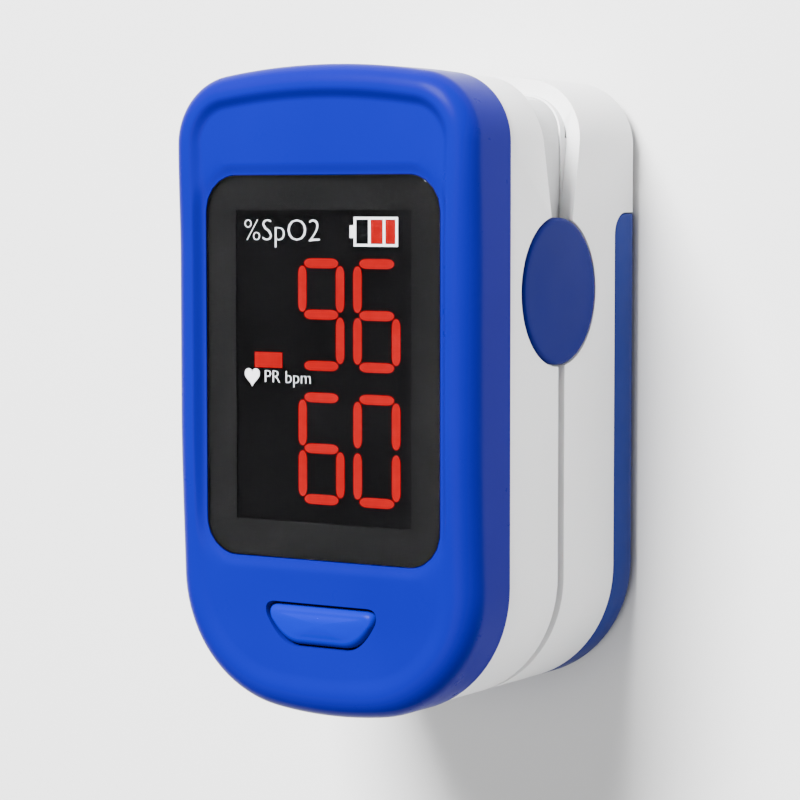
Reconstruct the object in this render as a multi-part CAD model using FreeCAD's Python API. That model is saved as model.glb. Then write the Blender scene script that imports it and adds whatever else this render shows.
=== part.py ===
import FreeCAD, Part
import math
import os

# Fingertip pulse oximeter, in millimetres.
# X runs across the display, +Y points to the end that the finger enters, +Z points out of the display.
# The origin is at the middle of the case, on the outer face of the battery cover.

# ---------------------------------------------------------------- overall case
case_width = 32.0
case_length = 58.6
case_height = 31.6
finger_end_radius = 70.0
finger_corner_radius = 6.25
rear_end_radius = 40.0
rear_corner_radius = 12.0
smallest_corner = 0.5

# ---------------------------------------------------------------- shells
wall = 1.4
white_step = 0.2            # the white halves stand in from the blue cover
rim_radius = 2.6            # rounding of the blue cover's front edge
back_radius = 1.9           # rounding of the back edge
seam_height = 14.5          # top edge of the battery half's wall
seam_gap = 1.1
front_cover_depth = 7.1
front_cover_wall = 1.6
front_face_drop = 0.55      # the face lies this far below its rim
rim_width = 3.0
lens_drop = 0.8             # lens surface below the rim
ceiling_drop = 2.7          # underside of the front face below the rim
spigot_wall = 0.8
spigot_depth = 1.6
slip_clearance = 0.15
fine_clearance = 0.05

# ---------------------------------------------------------------- finger mouth
upper_lip_near_hinge = 17.05
upper_lip_at_end = 18.9
lower_lip_near_hinge = 12.9
lower_lip_at_end = 10.65
lip_start_from_end = 13.0   # where the lips start to flare, measured from the finger end
upper_lip_flare_length = 8.5
sill_wall = 0.3             # closes the side channels below the lower lip
sill_depth = 2.0

# ---------------------------------------------------------------- display and lens
lens_width = 25.0
lens_length = 34.4
lens_corner = 3.2
lens_thickness = 0.4
lens_top_from_end = 9.85
lens_clearance = 0.05
mask_thickness = 0.15
window_width = 18.8
window_length = 28.0
window_top_in_lens = 3.1
ledge_width = 0.9
module_width = 22.0
module_length = 31.0
module_thickness = 2.0
segment_thickness = 0.06
digit_width = 5.0
digit_height = 10.1
digit_pitch = 5.9
digit_right_margin = 0.85   # right digit to the window's right side
segment_width = 0.95
segment_gap = 0.22
oxygen_digit_drop = 4.45    # top of the upper digits below the window's top
pulse_digit_drop = 16.45
oxygen_value = "96"
pulse_value = "60"
holder_wall = 1.2
holder_clearance = 0.3
holder_corner = 1.0
driver_ledge_depth = 0.5
driver_ledge_length = 1.2

# ---------------------------------------------------------------- power button
button_half_width = 5.7
button_height = 4.0
button_top_from_end = 48.0  # measured from the finger end
button_gap = 0.25
button_flange = 1.0
button_flange_thickness = 0.7
button_travel = 0.3
button_proud = 0.25
button_edge_radius = 0.55
button_stem_radius = 1.5
switch_size = 4.5
switch_height = 1.4
plunger_radius = 0.9
plunger_proud = 0.3         # of the switch body, beyond the travel
plunger_well = 0.6          # foot of the plunger above the board

# ---------------------------------------------------------------- main board
board_thickness = 1.0
board_drop = 6.5            # top of the board below the rim
board_inset = 2.9
chip_height = 1.0
sounder_radius = 4.5
sounder_height = 1.9
sounder_x = 6.5
sounder_gap = 3.2           # from the light path
sounder_hole_radius = 0.7
processor_size = 7.0
processor_x = -5.0
processor_ahead = 5.0       # of the display's middle
driver_width = 5.0
driver_length = 6.2
driver_x = 5.5
driver_ahead = 16.0
crystal_width = 2.0
crystal_length = 5.0
crystal_height = 1.1
crystal_x = 0.8
capacitor_length = 1.6
capacitor_width = 0.8
capacitor_height = 0.7
capacitor_first_x = -7.5
capacitor_pitch = 3.0
capacitor_count = 6
capacitor_rows = (-1.5, 11.6)   # ahead of the display's middle
socket_length = 1.8
socket_height = 1.4
socket_wall = 0.6

# ---------------------------------------------------------------- screws
screw_radius = 0.8
screw_head_radius = 1.5
screw_head_height = 0.9
screw_bite = 0.02           # radial clearance in the threaded hole
screw_slot_width = 0.3
upper_screw_grip = 2.6      # length of thread in the front cover's boss
lower_screw_length = 2.9
lower_screw_head_height = 0.8
lower_screw_boss_wall = 0.7
lower_screw_boss_height = 2.0
post_radius = 1.6
upper_screw_x = 10.9
upper_screw_front_from_end = 7.6
upper_screw_rear_from_end = 10.8
lower_screw_radius = 0.7
lower_screw_head_radius = 1.2
lower_screw_rear_y = -9.0
lower_screw_front_from_end = 11.8

# ---------------------------------------------------------------- finger beds and pads
deck_thickness = 0.8
bed_thickness = 0.8
upper_bed_thickness = 1.0
skirt_wall = 0.9
skirt_top_rear = 16.2
skirt_top_front = 19.6
upper_skirt_bottom = 17.2
mouth_width = 23.2
bed_ledge_width = 1.2
bed_ledge_height = 0.95
lip_thickness = 0.8         # of the lower lip's floor
lip_floor_drop = 0.2        # below the lower lip
ramp_behind_wall = 0.5
pad_half_width = 9.2
pad_centre_thickness = 0.6
pad_rim_thickness = 1.8
finger_radius = 26.0
channel_height = 5.2
pad_rear_from_end = 7.6
pad_front_from_end = 2.6
pad_corner = 3.0
pad_flare_length = 6.0
sensor_from_rear = 24.3
optic_width = 7.6
optic_length = 9.0
optic_gap = 0.2
window_thickness = 0.35
optic_board_thickness = 0.5
emitter_width = 4.0
emitter_length = 3.2
emitter_height = 0.9
lead_radius = 0.25
lead_pitch = 1.8
lead_ahead = 3.4            # of the light path's middle
light_sensor_size = 3.6

# ---------------------------------------------------------------- hinge
hinge_from_end = 20.3
hinge_height = 15.5
pin_radius = 1.25
pin_fit = 0.05
cap_radius = 6.67
cap_proud = 0.25            # the caps stand this far out of the white wall
cap_seat = 0.7
lug_radius = 4.2
lug_thickness = 1.6
moving_clearance = 0.3
pin_in_cap = 0.45
cap_edge_radius = 0.35
fulcrum_from_rear = 5.1
fulcrum_height = 15.0
fulcrum_radius = 1.2
fulcrum_x = 5.5
fulcrum_width = 1.8
open_angle = 9.0
ear_thickness = 1.0
ear_half_length = 3.6
ear_top = 18.4
cradle_wall = 0.9
spring_outer_radius = 1.0
spring_inner_radius = 0.62
spring_gap = 0.12
anchor_radius = 0.55
anchor_height = 6.2
anchor_bite = 0.6

# ---------------------------------------------------------------- batteries and battery cover
battery_radius = 5.25
battery_length = 44.5
battery_nub_length = 0.8
battery_nub_radius = 1.9
battery_gap = 0.1
battery_edge_radius = 0.5
battery_rear_from_end = 5.9
bay_wall = 0.6
contact_thickness = 0.4
contact_spring_room = 2.3
contact_spring_radius = 2.4
contact_spring_wire = 0.5
contact_spring_taper = 0.8
contact_half_size = 3.4
contact_dome_radius = 2.2
contact_dome_tip = 1.0
terminal_gap = 1.3          # between the cells and the bay's front wall
cover_lip_height = 4.85
cover_front_y = 16.0
cover_corner_radius = 2.0
cover_floor = 1.2
cover_wall = 1.2
cover_clearance = 0.1
rail_start_y = -13.0
rail_end_y = 3.0
rail_height = 0.8
rail_lip = 0.85             # of the cover above its rails
rail_wall_gap = 0.4
tongue_reach = 1.3
grip_count = 6
grip_pitch = 1.9
grip_length = 11.0
grip_width = 0.8
grip_depth = 0.3
grip_front_margin = 3.0

# ---------------------------------------------------------------- flex cable
flex_width = 3.0
flex_thickness = 0.2
flex_clearance = 0.2
flex_x = -2.0

# ---------------------------------------------------------------- worked-out places
half_width = case_width / 2
half_length = case_length / 2
white_half_width = half_width - white_step
inner_inset = white_step + wall
inner_half_width = half_width - inner_inset
upper_seam = seam_height + seam_gap
front_cover_edge = case_height - front_cover_depth
ceiling = case_height - ceiling_drop
face_level = case_height - front_face_drop
lens_surface = case_height - lens_drop
lens_underside = lens_surface - lens_thickness
mask_underside = lens_underside - mask_thickness
display_face = mask_underside - segment_thickness - fine_clearance
lens_centre_y = half_length - lens_top_from_end - lens_length / 2
window_top_y = lens_centre_y + lens_length / 2 - window_top_in_lens
window_centre_y = window_top_y - window_length / 2
module_underside = display_face - module_thickness
board_top = case_height - board_drop
board_underside = board_top - board_thickness
button_top_y = half_length - button_top_from_end
button_centre_y = button_top_y - button_height / 2
hinge_y = half_length - hinge_from_end
fulcrum_y = -half_length + fulcrum_from_rear
sensor_y = -half_length + sensor_from_rear
battery_x = battery_radius + battery_gap / 2
battery_z = cover_floor + cover_clearance + battery_gap + battery_radius
battery_rear_y = -half_length + battery_rear_from_end
battery_front_y = battery_rear_y + battery_length
bay_half_width = battery_x + battery_radius + battery_gap
bay_outer = bay_half_width + bay_wall
bay_front_y = battery_front_y + terminal_gap
deck_underside = battery_z + battery_radius + battery_gap
deck_top = deck_underside + deck_thickness
bed_underside = deck_top + fine_clearance
bed_top = bed_underside + bed_thickness
channel_floor = bed_top + pad_centre_thickness
channel_roof = channel_floor + channel_height
upper_bed_underside = channel_roof + pad_centre_thickness
upper_bed_top = upper_bed_underside + upper_bed_thickness
pad_rear_y = -half_length + pad_rear_from_end
pad_front_y = half_length - pad_front_from_end
skirt_outer_inset = inner_inset + slip_clearance
skirt_inner_inset = skirt_outer_inset + skirt_wall
cap_outer_x = white_half_width + cap_proud
lug_outer_x = white_half_width - cap_seat
lug_inner_x = lug_outer_x - lug_thickness
spring_x = lug_inner_x - spring_gap - spring_outer_radius
ear_outer_x = spring_x - spring_outer_radius - spring_gap
ear_inner_x = ear_outer_x - ear_thickness
ramp_y = bay_front_y + ramp_behind_wall
ramp_end_z = lower_lip_at_end - lip_floor_drop
rail_top_z = cover_lip_height - rail_lip
plunger_rise = button_travel + plunger_proud
embed = 0.1                 # how far joined shapes run into each other
upper_screw_places = [
    (upper_screw_x, half_length - upper_screw_front_from_end),
    (-upper_screw_x, half_length - upper_screw_front_from_end),
    (upper_screw_x, -half_length + upper_screw_rear_from_end),
    (-upper_screw_x, -half_length + upper_screw_rear_from_end),
]
lower_screw_x = (bay_outer + inner_half_width) / 2
lower_screw_places = [
    (lower_screw_x, half_length - lower_screw_front_from_end),
    (-lower_screw_x, half_length - lower_screw_front_from_end),
    (lower_screw_x, lower_screw_rear_y),
    (-lower_screw_x, lower_screw_rear_y),
]
beyond = 5.0                # how far cutting tools run past the case


# ---------------------------------------------------------------- basic shapes
def vector(x, y, z=0.0):
    return FreeCAD.Vector(x, y, z)


def box(x0, x1, y0, y1, z0, z1):
    """Block between two corners."""
    return Part.makeBox(x1 - x0, y1 - y0, z1 - z0, vector(x0, y0, z0))


def rod_x(radius, x0, x1, y, z):
    return Part.makeCylinder(radius, x1 - x0, vector(x0, y, z), vector(1, 0, 0))


def rod_y(radius, y0, y1, x, z):
    return Part.makeCylinder(radius, y1 - y0, vector(x, y0, z), vector(0, 1, 0))


def rod_z(radius, z0, z1, x, y):
    return Part.makeCylinder(radius, z1 - z0, vector(x, y, z0), vector(0, 0, 1))


def rounded_block(width, length, radius, z0, z1, x=0.0, y=0.0):
    """Block with rounded upright edges, centred on x, y."""
    block = box(x - width / 2, x + width / 2, y - length / 2, y + length / 2, z0, z1)
    upright = [edge for edge in block.Edges if abs(edge.Vertexes[0].Z - edge.Vertexes[1].Z) > 1e-6]
    return block.makeFillet(radius, upright)


def mirrored(shape):
    """The same shape on the other side of the case."""
    return shape.mirror(vector(0, 0, 0), vector(1, 0, 0))


def both_sides(shape):
    return shape.fuse(mirrored(shape))


def across(points, half_span):
    """Block with a side profile of (y, z) points, from -half_span to half_span in x."""
    corners = [vector(-half_span, y, z) for y, z in points]
    corners.append(corners[0])
    return Part.Face(Part.makePolygon(corners)).extrude(vector(2 * half_span, 0, 0))


def end_points(half_w, half_l, end_radius, corner_radius, sign):
    """Points of one end of the case outline, from the right side to the middle of the end."""
    corner = max(corner_radius, smallest_corner)
    corner_x = half_w - corner
    end_y = sign * (half_l - end_radius)
    reach = end_radius - corner
    corner_y = end_y + sign * math.sqrt(reach ** 2 - corner_x ** 2)
    side = vector(half_w, corner_y)
    meeting = vector(corner_x / reach * end_radius, end_y + (corner_y - end_y) / reach * end_radius)
    turn = (math.atan2(meeting.y - corner_y, meeting.x - corner_x)) / 2
    middle = vector(corner_x + corner * math.cos(turn), corner_y + corner * math.sin(turn))
    return side, middle, meeting, vector(0, sign * half_l)


def flipped(point):
    return vector(-point.x, point.y)


def arc(first, middle, last):
    return Part.Arc(first, middle, last).toShape()


def outline(inset):
    """Plan outline of the case, moved inwards by inset."""
    half_w = half_width - inset
    half_l = half_length - inset
    front = end_points(half_w, half_l, finger_end_radius - inset, finger_corner_radius - inset, 1)
    rear = end_points(half_w, half_l, rear_end_radius - inset, rear_corner_radius - inset, -1)
    edges = [
        Part.makeLine(rear[0], front[0]),
        arc(front[0], front[1], front[2]),
        arc(front[2], front[3], flipped(front[2])),
        arc(flipped(front[2]), flipped(front[1]), flipped(front[0])),
        Part.makeLine(flipped(front[0]), flipped(rear[0])),
        arc(flipped(rear[0]), flipped(rear[1]), flipped(rear[2])),
        arc(flipped(rear[2]), rear[3], rear[2]),
        arc(rear[2], rear[1], rear[0]),
    ]
    return Part.Wire(edges)


def slab(inset, z0, z1):
    """Solid with the case outline between two heights."""
    solid = Part.Face(outline(inset)).extrude(vector(0, 0, z1 - z0))
    solid.translate(vector(0, 0, z0))
    return solid


def ring(outer_inset, inner_inset_, z0, z1):
    """Closed wall that follows the case outline."""
    return slab(outer_inset, z0, z1).cut(slab(inner_inset_, z0 - 1, z1 + 1))


def edges_at(shape, height):
    """Edges that lie flat at one height."""
    found = []
    for edge in shape.Edges:
        bounds = edge.BoundBox
        if abs(bounds.ZMin - height) < 1e-4 and abs(bounds.ZMax - height) < 1e-4:
            found.append(edge)
    return found


# ---------------------------------------------------------------- shared cutting tools
def upper_mouth():
    """Space below the display half's flared edge."""
    start = half_length - lip_start_from_end
    points = [
        (-half_length - beyond, -beyond),
        (-half_length - beyond, upper_seam),
        (hinge_y, upper_seam),
        (start, upper_lip_near_hinge),
        (start + upper_lip_flare_length, upper_lip_at_end),
        (half_length + beyond, upper_lip_at_end),
        (half_length + beyond, -beyond),
    ]
    return across(points, half_width + beyond)


def lower_mouth():
    """Space above the battery half's flared edge."""
    start = half_length - lip_start_from_end
    slope = (lower_lip_near_hinge - lower_lip_at_end) / lip_start_from_end
    points = [
        (-half_length - beyond, case_height + beyond),
        (-half_length - beyond, seam_height),
        (hinge_y, seam_height),
        (start, lower_lip_near_hinge),
        (half_length, lower_lip_at_end),
        (half_length + beyond, lower_lip_at_end - slope * beyond),
        (half_length + beyond, case_height + beyond),
    ]
    return across(points, half_width + beyond)


def cover_envelope(grow):
    """Space taken by the battery cover's outline in side view."""
    front = cover_front_y + grow
    top = cover_lip_height + grow
    radius = cover_corner_radius + grow
    block = box(-half_width - beyond, half_width + beyond, -half_length - beyond, front, -beyond, top)
    corner = [
        edge
        for edge in block.Edges
        if abs(edge.BoundBox.YMin - front) < 1e-6
        and abs(edge.BoundBox.ZMin - top) < 1e-6
        and edge.BoundBox.ZLength < 1e-6
    ]
    return block.makeFillet(radius, corner)


def button_outline(grow):
    """Boat-shaped outline of the power button: straight top, round shoulders, narrower flat foot."""
    top = button_top_y + grow
    foot = button_top_y - button_height - grow
    wide = button_half_width + grow
    shoulder = 0.8 * wide
    narrow = 0.42 * wide
    side_y = top - 0.36 * (top - foot)
    bend_y = top - 0.82 * (top - foot)
    shoulder_top = vector(shoulder, top)
    shoulder_bend = vector(0.965 * wide, top - 0.11 * (top - foot))
    side = vector(wide, side_y)
    bend = vector(0.80 * wide, bend_y)
    foot_end = vector(narrow, foot)
    edges = [
        Part.makeLine(flipped(shoulder_top), shoulder_top),
        arc(shoulder_top, shoulder_bend, side),
        arc(side, bend, foot_end),
        Part.makeLine(foot_end, flipped(foot_end)),
        arc(flipped(foot_end), flipped(bend), flipped(side)),
        arc(flipped(side), flipped(shoulder_bend), flipped(shoulder_top)),
    ]
    return Part.Wire(edges)


def button_block(grow, z0, z1):
    block = Part.Face(button_outline(grow)).extrude(vector(0, 0, z1 - z0))
    block.translate(vector(0, 0, z0))
    return block


def finger_trough(level, sign):
    """Long cylinder that hollows a pad; level is the pad's middle, sign the side of its axis."""
    axis_z = level + sign * finger_radius
    return rod_y(finger_radius, -case_length, case_length, 0, axis_z)


# ---------------------------------------------------------------- front cover, lens and display
def front_cover():
    """Blue front shell with a dished face, lens seat, button opening, spigot and screw bosses."""
    shell = slab(0, front_cover_edge, case_height)
    shell = shell.makeFillet(rim_radius, edges_at(shell, case_height))
    shell = shell.cut(slab(rim_width, face_level, case_height + beyond))
    shell = shell.cut(slab(front_cover_wall, front_cover_edge - 1, ceiling))
    spigot = ring(
        inner_inset + slip_clearance,
        inner_inset + slip_clearance + spigot_wall,
        front_cover_edge - spigot_depth,
        ceiling + 0.5,
    )
    shell = shell.fuse(spigot)
    for x, y in upper_screw_places:
        shell = shell.fuse(rod_z(post_radius, board_top + fine_clearance, ceiling + 0.5, x, y))
    seat_width = lens_width + 2 * lens_clearance
    seat_length = lens_length + 2 * lens_clearance
    seat_bottom = mask_underside - fine_clearance
    seat = rounded_block(
        seat_width, seat_length, lens_corner + lens_clearance, seat_bottom, case_height + 1, 0, lens_centre_y
    )
    opening = rounded_block(
        seat_width - 2 * ledge_width,
        seat_length - 2 * ledge_width,
        lens_corner - ledge_width,
        ceiling - 1,
        case_height + 1,
        0,
        lens_centre_y,
    )
    shell = shell.cut(seat).cut(opening)
    shell = shell.cut(button_block(button_gap, ceiling - 1, case_height + 1))
    for x, y in upper_screw_places:
        shell = shell.cut(rod_z(screw_radius + screw_bite, board_top - 1, ceiling + 0.3, x, y))
    return shell


def display_lens():
    """Clear window that lies flush in the front cover."""
    return rounded_block(
        lens_width, lens_length, lens_corner, lens_underside, lens_surface, 0, lens_centre_y
    )


def lens_mask():
    """Black printed frame on the underside of the lens."""
    frame = rounded_block(
        lens_width, lens_length, lens_corner, mask_underside, lens_underside, 0, lens_centre_y
    )
    window = box(
        -window_width / 2,
        window_width / 2,
        window_centre_y - window_length / 2,
        window_centre_y + window_length / 2,
        mask_underside - 1,
        lens_underside + 1,
    )
    return frame.cut(window)


def display_module():
    """Sealed display panel right behind the lens, with its driver ledge at the foot."""
    panel = box(
        -module_width / 2,
        module_width / 2,
        lens_centre_y - module_length / 2,
        lens_centre_y + module_length / 2,
        module_underside,
        display_face,
    )
    ledge = box(
        -module_width / 2 - 1,
        module_width / 2 + 1,
        lens_centre_y - module_length / 2 - 1,
        lens_centre_y - module_length / 2 + driver_ledge_length,
        display_face - driver_ledge_depth,
        display_face + 1,
    )
    return panel.cut(ledge)


def segment(x, y, length, upright):
    """One lozenge-ended bar of a digit, centred on x, y."""
    half = length / 2
    thick = segment_width / 2
    points = [(-half, 0), (-half + thick, thick), (half - thick, thick)]
    points += [(half, 0), (half - thick, -thick), (-half + thick, -thick)]
    corners = []
    for along, aside in points:
        place = (x + aside, y + along) if upright else (x + along, y + aside)
        corners.append(vector(place[0], place[1], display_face))
    corners.append(corners[0])
    return Part.Face(Part.makePolygon(corners)).extrude(vector(0, 0, segment_thickness))


LIT = {"0": "abcdef", "6": "acdefg", "9": "abcdfg"}


def digit(character, centre_x, top_y):
    """Lit bars of one seven-segment digit."""
    reach_x = (digit_width - segment_width) / 2
    middle_y = top_y - digit_height / 2
    reach_y = (digit_height - segment_width) / 2
    long_bar = reach_y - segment_gap
    wide_bar = 2 * reach_x - segment_gap
    places = {
        "a": (centre_x, middle_y + reach_y, wide_bar, False),
        "g": (centre_x, middle_y, wide_bar, False),
        "d": (centre_x, middle_y - reach_y, wide_bar, False),
        "f": (centre_x - reach_x, middle_y + reach_y / 2, long_bar, True),
        "b": (centre_x + reach_x, middle_y + reach_y / 2, long_bar, True),
        "e": (centre_x - reach_x, middle_y - reach_y / 2, long_bar, True),
        "c": (centre_x + reach_x, middle_y - reach_y / 2, long_bar, True),
    }
    return [segment(*places[name]) for name in LIT[character]]


def number(text, drop):
    """Lit bars of a two-digit number, set against the right side of the window."""
    last_x = window_width / 2 - digit_right_margin - digit_width / 2
    bars = []
    for index, character in enumerate(reversed(text)):
        bars += digit(character, last_x - index * digit_pitch, window_top_y - drop)
    return Part.makeCompound(bars)


def oxygen_digits():
    return number(oxygen_value, oxygen_digit_drop)


def pulse_digits():
    return number(pulse_value, pulse_digit_drop)


def display_holder():
    """Light frame that carries the display above the main board."""
    width = module_width - 2 * holder_clearance
    length = module_length - 2 * holder_clearance
    bottom = board_top + fine_clearance
    top = module_underside - fine_clearance
    frame = rounded_block(width, length, holder_corner, bottom, top, 0, lens_centre_y)
    hollow = rounded_block(
        width - 2 * holder_wall,
        length - 2 * holder_wall,
        holder_corner / 2,
        bottom - 1,
        top + 1,
        0,
        lens_centre_y,
    )
    return frame.cut(hollow)


# ---------------------------------------------------------------- power button and board
def power_button():
    """Button cap with a retaining flange below the face and a stem down to the switch."""
    cap_top = face_level + button_proud
    cap = button_block(0, ceiling - button_flange_thickness + embed, cap_top)
    cap = cap.makeFillet(button_edge_radius, edges_at(cap, cap_top))
    flange_top = ceiling - fine_clearance
    flange = button_block(button_flange, flange_top - button_flange_thickness, flange_top)
    stem_foot = board_top + switch_height + 2 * fine_clearance + plunger_rise
    stem = rod_z(button_stem_radius, stem_foot, flange_top - embed, 0, button_centre_y)
    return cap.fuse(flange).fuse(stem)


def switch_plunger():
    """Small plunger that stands out of the switch, right under the button's stem."""
    top = board_top + switch_height + fine_clearance + plunger_rise
    low = board_top + plunger_well
    return rod_z(plunger_radius, low, top, 0, button_centre_y)


def tact_switch():
    """Square switch body with a well for the plunger."""
    half = switch_size / 2
    body = box(
        -half, half, button_centre_y - half, button_centre_y + half, board_top, board_top + switch_height
    )
    well = rod_z(plunger_radius + pin_fit, board_top + 0.2, case_height, 0, button_centre_y)
    return body.cut(well)


def main_board():
    """Circuit board that follows the case outline, with four screw holes."""
    board = slab(board_inset, board_underside, board_top)
    for x, y in upper_screw_places:
        board = board.cut(rod_z(screw_radius + slip_clearance, board_underside - 1, board_top + 1, x, y))
    return board


def below_board(width, length, height, x, y):
    """Flat package soldered to the underside of the main board."""
    return box(
        x - width / 2,
        x + width / 2,
        y - length / 2,
        y + length / 2,
        board_underside - height,
        board_underside,
    )


def processor_chip():
    return below_board(
        processor_size, processor_size, chip_height, processor_x, lens_centre_y + processor_ahead
    )


def driver_chip():
    return below_board(driver_width, driver_length, chip_height, driver_x, lens_centre_y + driver_ahead)


def crystal():
    return below_board(
        crystal_width, crystal_length, crystal_height, crystal_x, lens_centre_y + processor_ahead
    )


def capacitors():
    """Two rows of small chip capacitors and resistors."""
    packages = []
    level_row, upright_row = capacitor_rows
    long, short, height = capacitor_length, capacitor_width, capacitor_height
    for index in range(capacitor_count):
        x = capacitor_first_x + capacitor_pitch * index
        packages.append(below_board(long, short, height, x, lens_centre_y + level_row))
        packages.append(below_board(short, long, height, x, lens_centre_y + upright_row))
    return Part.makeCompound(packages)


def sounder():
    """Round buzzer on the underside of the board, with its sound hole."""
    y = sensor_y + optic_length / 2 + sounder_radius + sounder_gap
    low = board_underside - sounder_height
    body = rod_z(sounder_radius, low, board_underside, sounder_x, y)
    hole = rod_z(sounder_hole_radius, low - 1, low + sounder_height / 2, sounder_x, y)
    return body.cut(hole)


def flex_connector():
    """Socket on the underside of the board for the flex cable."""
    y = fulcrum_y + 1.6
    block = box(
        flex_x - flex_width / 2 - socket_wall,
        flex_x + flex_width / 2 + socket_wall,
        y - socket_length / 2,
        y + socket_length / 2,
        board_underside - socket_height,
        board_underside,
    )
    slot = box(
        flex_x - flex_width / 2 - 0.05,
        flex_x + flex_width / 2 + 0.05,
        y - 2.0,
        y + 0.3,
        board_underside - 0.9,
        board_underside - 0.55,
    )
    return block.cut(slot)


# ---------------------------------------------------------------- display half
def lug():
    """Round ear of the display half that hangs beside the battery half and holds the hinge pin."""
    disc = rod_x(lug_radius, lug_inner_x, lug_outer_x, hinge_y, hinge_height)
    web = box(
        lug_inner_x,
        lug_outer_x,
        hinge_y - lug_radius,
        hinge_y + lug_radius,
        hinge_height,
        upper_bed_underside - slip_clearance,
    )
    return disc.fuse(web)


def upper_housing():
    """White wall of the display half, with the bed ledge, hinge lugs and cap seats."""
    shell = ring(white_step, inner_inset, seam_height, front_cover_edge)
    shell = shell.cut(upper_mouth())
    ledge = ring(
        inner_inset - embed,
        inner_inset + bed_ledge_width,
        upper_bed_top + fine_clearance,
        upper_bed_top + fine_clearance + bed_ledge_height,
    )
    shell = shell.fuse(ledge)
    seat = rod_x(cap_radius + slip_clearance, lug_outer_x, half_width + beyond, hinge_y, hinge_height)
    bore = rod_x(pin_radius + screw_bite, 0, half_width + beyond, hinge_y, hinge_height)
    shell = shell.fuse(both_sides(lug()))
    shell = shell.cut(both_sides(seat)).cut(both_sides(bore))
    return shell


def fulcrum_tab():
    """Round-ended tab of the display half that rocks in the battery half's cradle."""
    x0 = fulcrum_x - fulcrum_width / 2
    x1 = fulcrum_x + fulcrum_width / 2
    tip = rod_x(fulcrum_radius, x0, x1, fulcrum_y, fulcrum_height)
    post = box(
        x0,
        x1,
        fulcrum_y - fulcrum_radius,
        fulcrum_y + fulcrum_radius,
        fulcrum_height,
        upper_bed_underside + 0.3,
    )
    return tip.fuse(post)


def optic_opening(z0, z1, margin):
    """Opening through a bed or a pad at the light path."""
    half_w = optic_width / 2 + margin
    half_l = optic_length / 2 + margin
    return box(-half_w, half_w, sensor_y - half_l, sensor_y + half_l, z0, z1)


def upper_bed():
    """Tray over the finger: plate, light skirt, board posts and the two fulcrum tabs."""
    plate = slab(skirt_outer_inset, upper_bed_underside, upper_bed_top)
    skirt = ring(skirt_outer_inset, skirt_inner_inset, upper_skirt_bottom, upper_bed_underside + 0.2)
    hinge_room = box(
        -half_width,
        half_width,
        hinge_y - lug_radius - moving_clearance,
        hinge_y + lug_radius + moving_clearance,
        0,
        upper_bed_underside,
    )
    rear_room = box(
        -half_width,
        half_width,
        -half_length,
        fulcrum_y + 3.0,
        0,
        skirt_top_rear + seam_gap + 0.6,
    )
    mouth = box(-mouth_width / 2, mouth_width / 2, 0, half_length, 0, upper_bed_underside)
    front_room = box(
        -half_width,
        half_width,
        hinge_y + lug_radius,
        half_length,
        0,
        skirt_top_front + moving_clearance,
    )
    skirt = skirt.cut(hinge_room).cut(mouth).cut(rear_room).cut(front_room)
    bed = plate.fuse(skirt).fuse(both_sides(fulcrum_tab()))
    for x, y in upper_screw_places:
        bed = bed.fuse(rod_z(post_radius, upper_bed_top - 0.2, board_underside - fine_clearance, x, y))
    for x, y in upper_screw_places:
        bed = bed.cut(rod_z(screw_radius + slip_clearance, 0, case_height, x, y))
    bed = bed.cut(optic_opening(0, case_height, -0.8))
    flex_slot = box(
        flex_x - flex_width / 2 - 2 * flex_clearance,
        flex_x + flex_width / 2 + 2 * flex_clearance,
        fulcrum_y - 0.6,
        fulcrum_y + 0.6,
        0,
        case_height,
    )
    return bed.cut(flex_slot)


def upper_pad():
    """Soft silicone pad over the finger."""
    bottom = upper_bed_underside - pad_rim_thickness
    pad = rounded_block(
        2 * pad_half_width,
        pad_front_y - pad_rear_y,
        pad_corner,
        bottom,
        upper_bed_underside,
        0,
        (pad_front_y + pad_rear_y) / 2,
    )
    pad = pad.cut(finger_trough(channel_roof, -1))
    flare = across(
        [
            (pad_front_y - pad_flare_length, bottom - 1),
            (pad_front_y - pad_flare_length, bottom),
            (pad_front_y + 1.0, upper_bed_underside - 0.5),
            (pad_front_y + 1.0, bottom - 1),
        ],
        half_width,
    )
    pad = pad.cut(flare)
    return pad.cut(optic_opening(0, case_height, 0))


def optic_plate(z0, z1):
    half_w = optic_width / 2 - optic_gap / 2
    half_l = optic_length / 2 - optic_gap / 2
    return box(-half_w, half_w, sensor_y - half_l, sensor_y + half_l, z0, z1)


def emitter_window():
    """Clear plate over the emitter, level with the pad."""
    return optic_plate(channel_roof + fine_clearance, upper_bed_underside - fine_clearance)


def emitter_board():
    """Small board with the light emitter, on top of the bed."""
    low = upper_bed_top + fine_clearance
    return optic_plate(low, low + optic_board_thickness)


def emitter():
    """Two-colour light emitter that shines down through the bed."""
    top = upper_bed_top + fine_clearance
    half_w = emitter_width / 2
    half_l = emitter_length / 2
    return box(-half_w, half_w, sensor_y - half_l, sensor_y + half_l, top - emitter_height, top)


def emitter_leads():
    """Four pins between the emitter board and the main board."""
    pins = []
    foot = upper_bed_top + fine_clearance + optic_board_thickness
    for index in range(4):
        x = lead_pitch * (index - 1.5)
        pins.append(rod_z(lead_radius, foot, board_underside, x, sensor_y + lead_ahead))
    return Part.makeCompound(pins)


def screw(radius, head_radius, head_height, x, y, head_z, length):
    """Pan-head screw that points up, with a cross slot; head_z is the face under its head."""
    head = rod_z(head_radius, head_z - head_height, head_z, x, y)
    shank = rod_z(radius, head_z, head_z + length, x, y)
    slot_reach = 0.7 * head_radius
    slot_depth = 0.45 * head_height
    low = head_z - head_height
    half = screw_slot_width / 2
    slot = box(x - slot_reach, x + slot_reach, y - half, y + half, low, low + slot_depth)
    cross = box(x - half, x + half, y - slot_reach, y + slot_reach, low, low + slot_depth)
    return head.fuse(shank).cut(slot).cut(cross)


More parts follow.
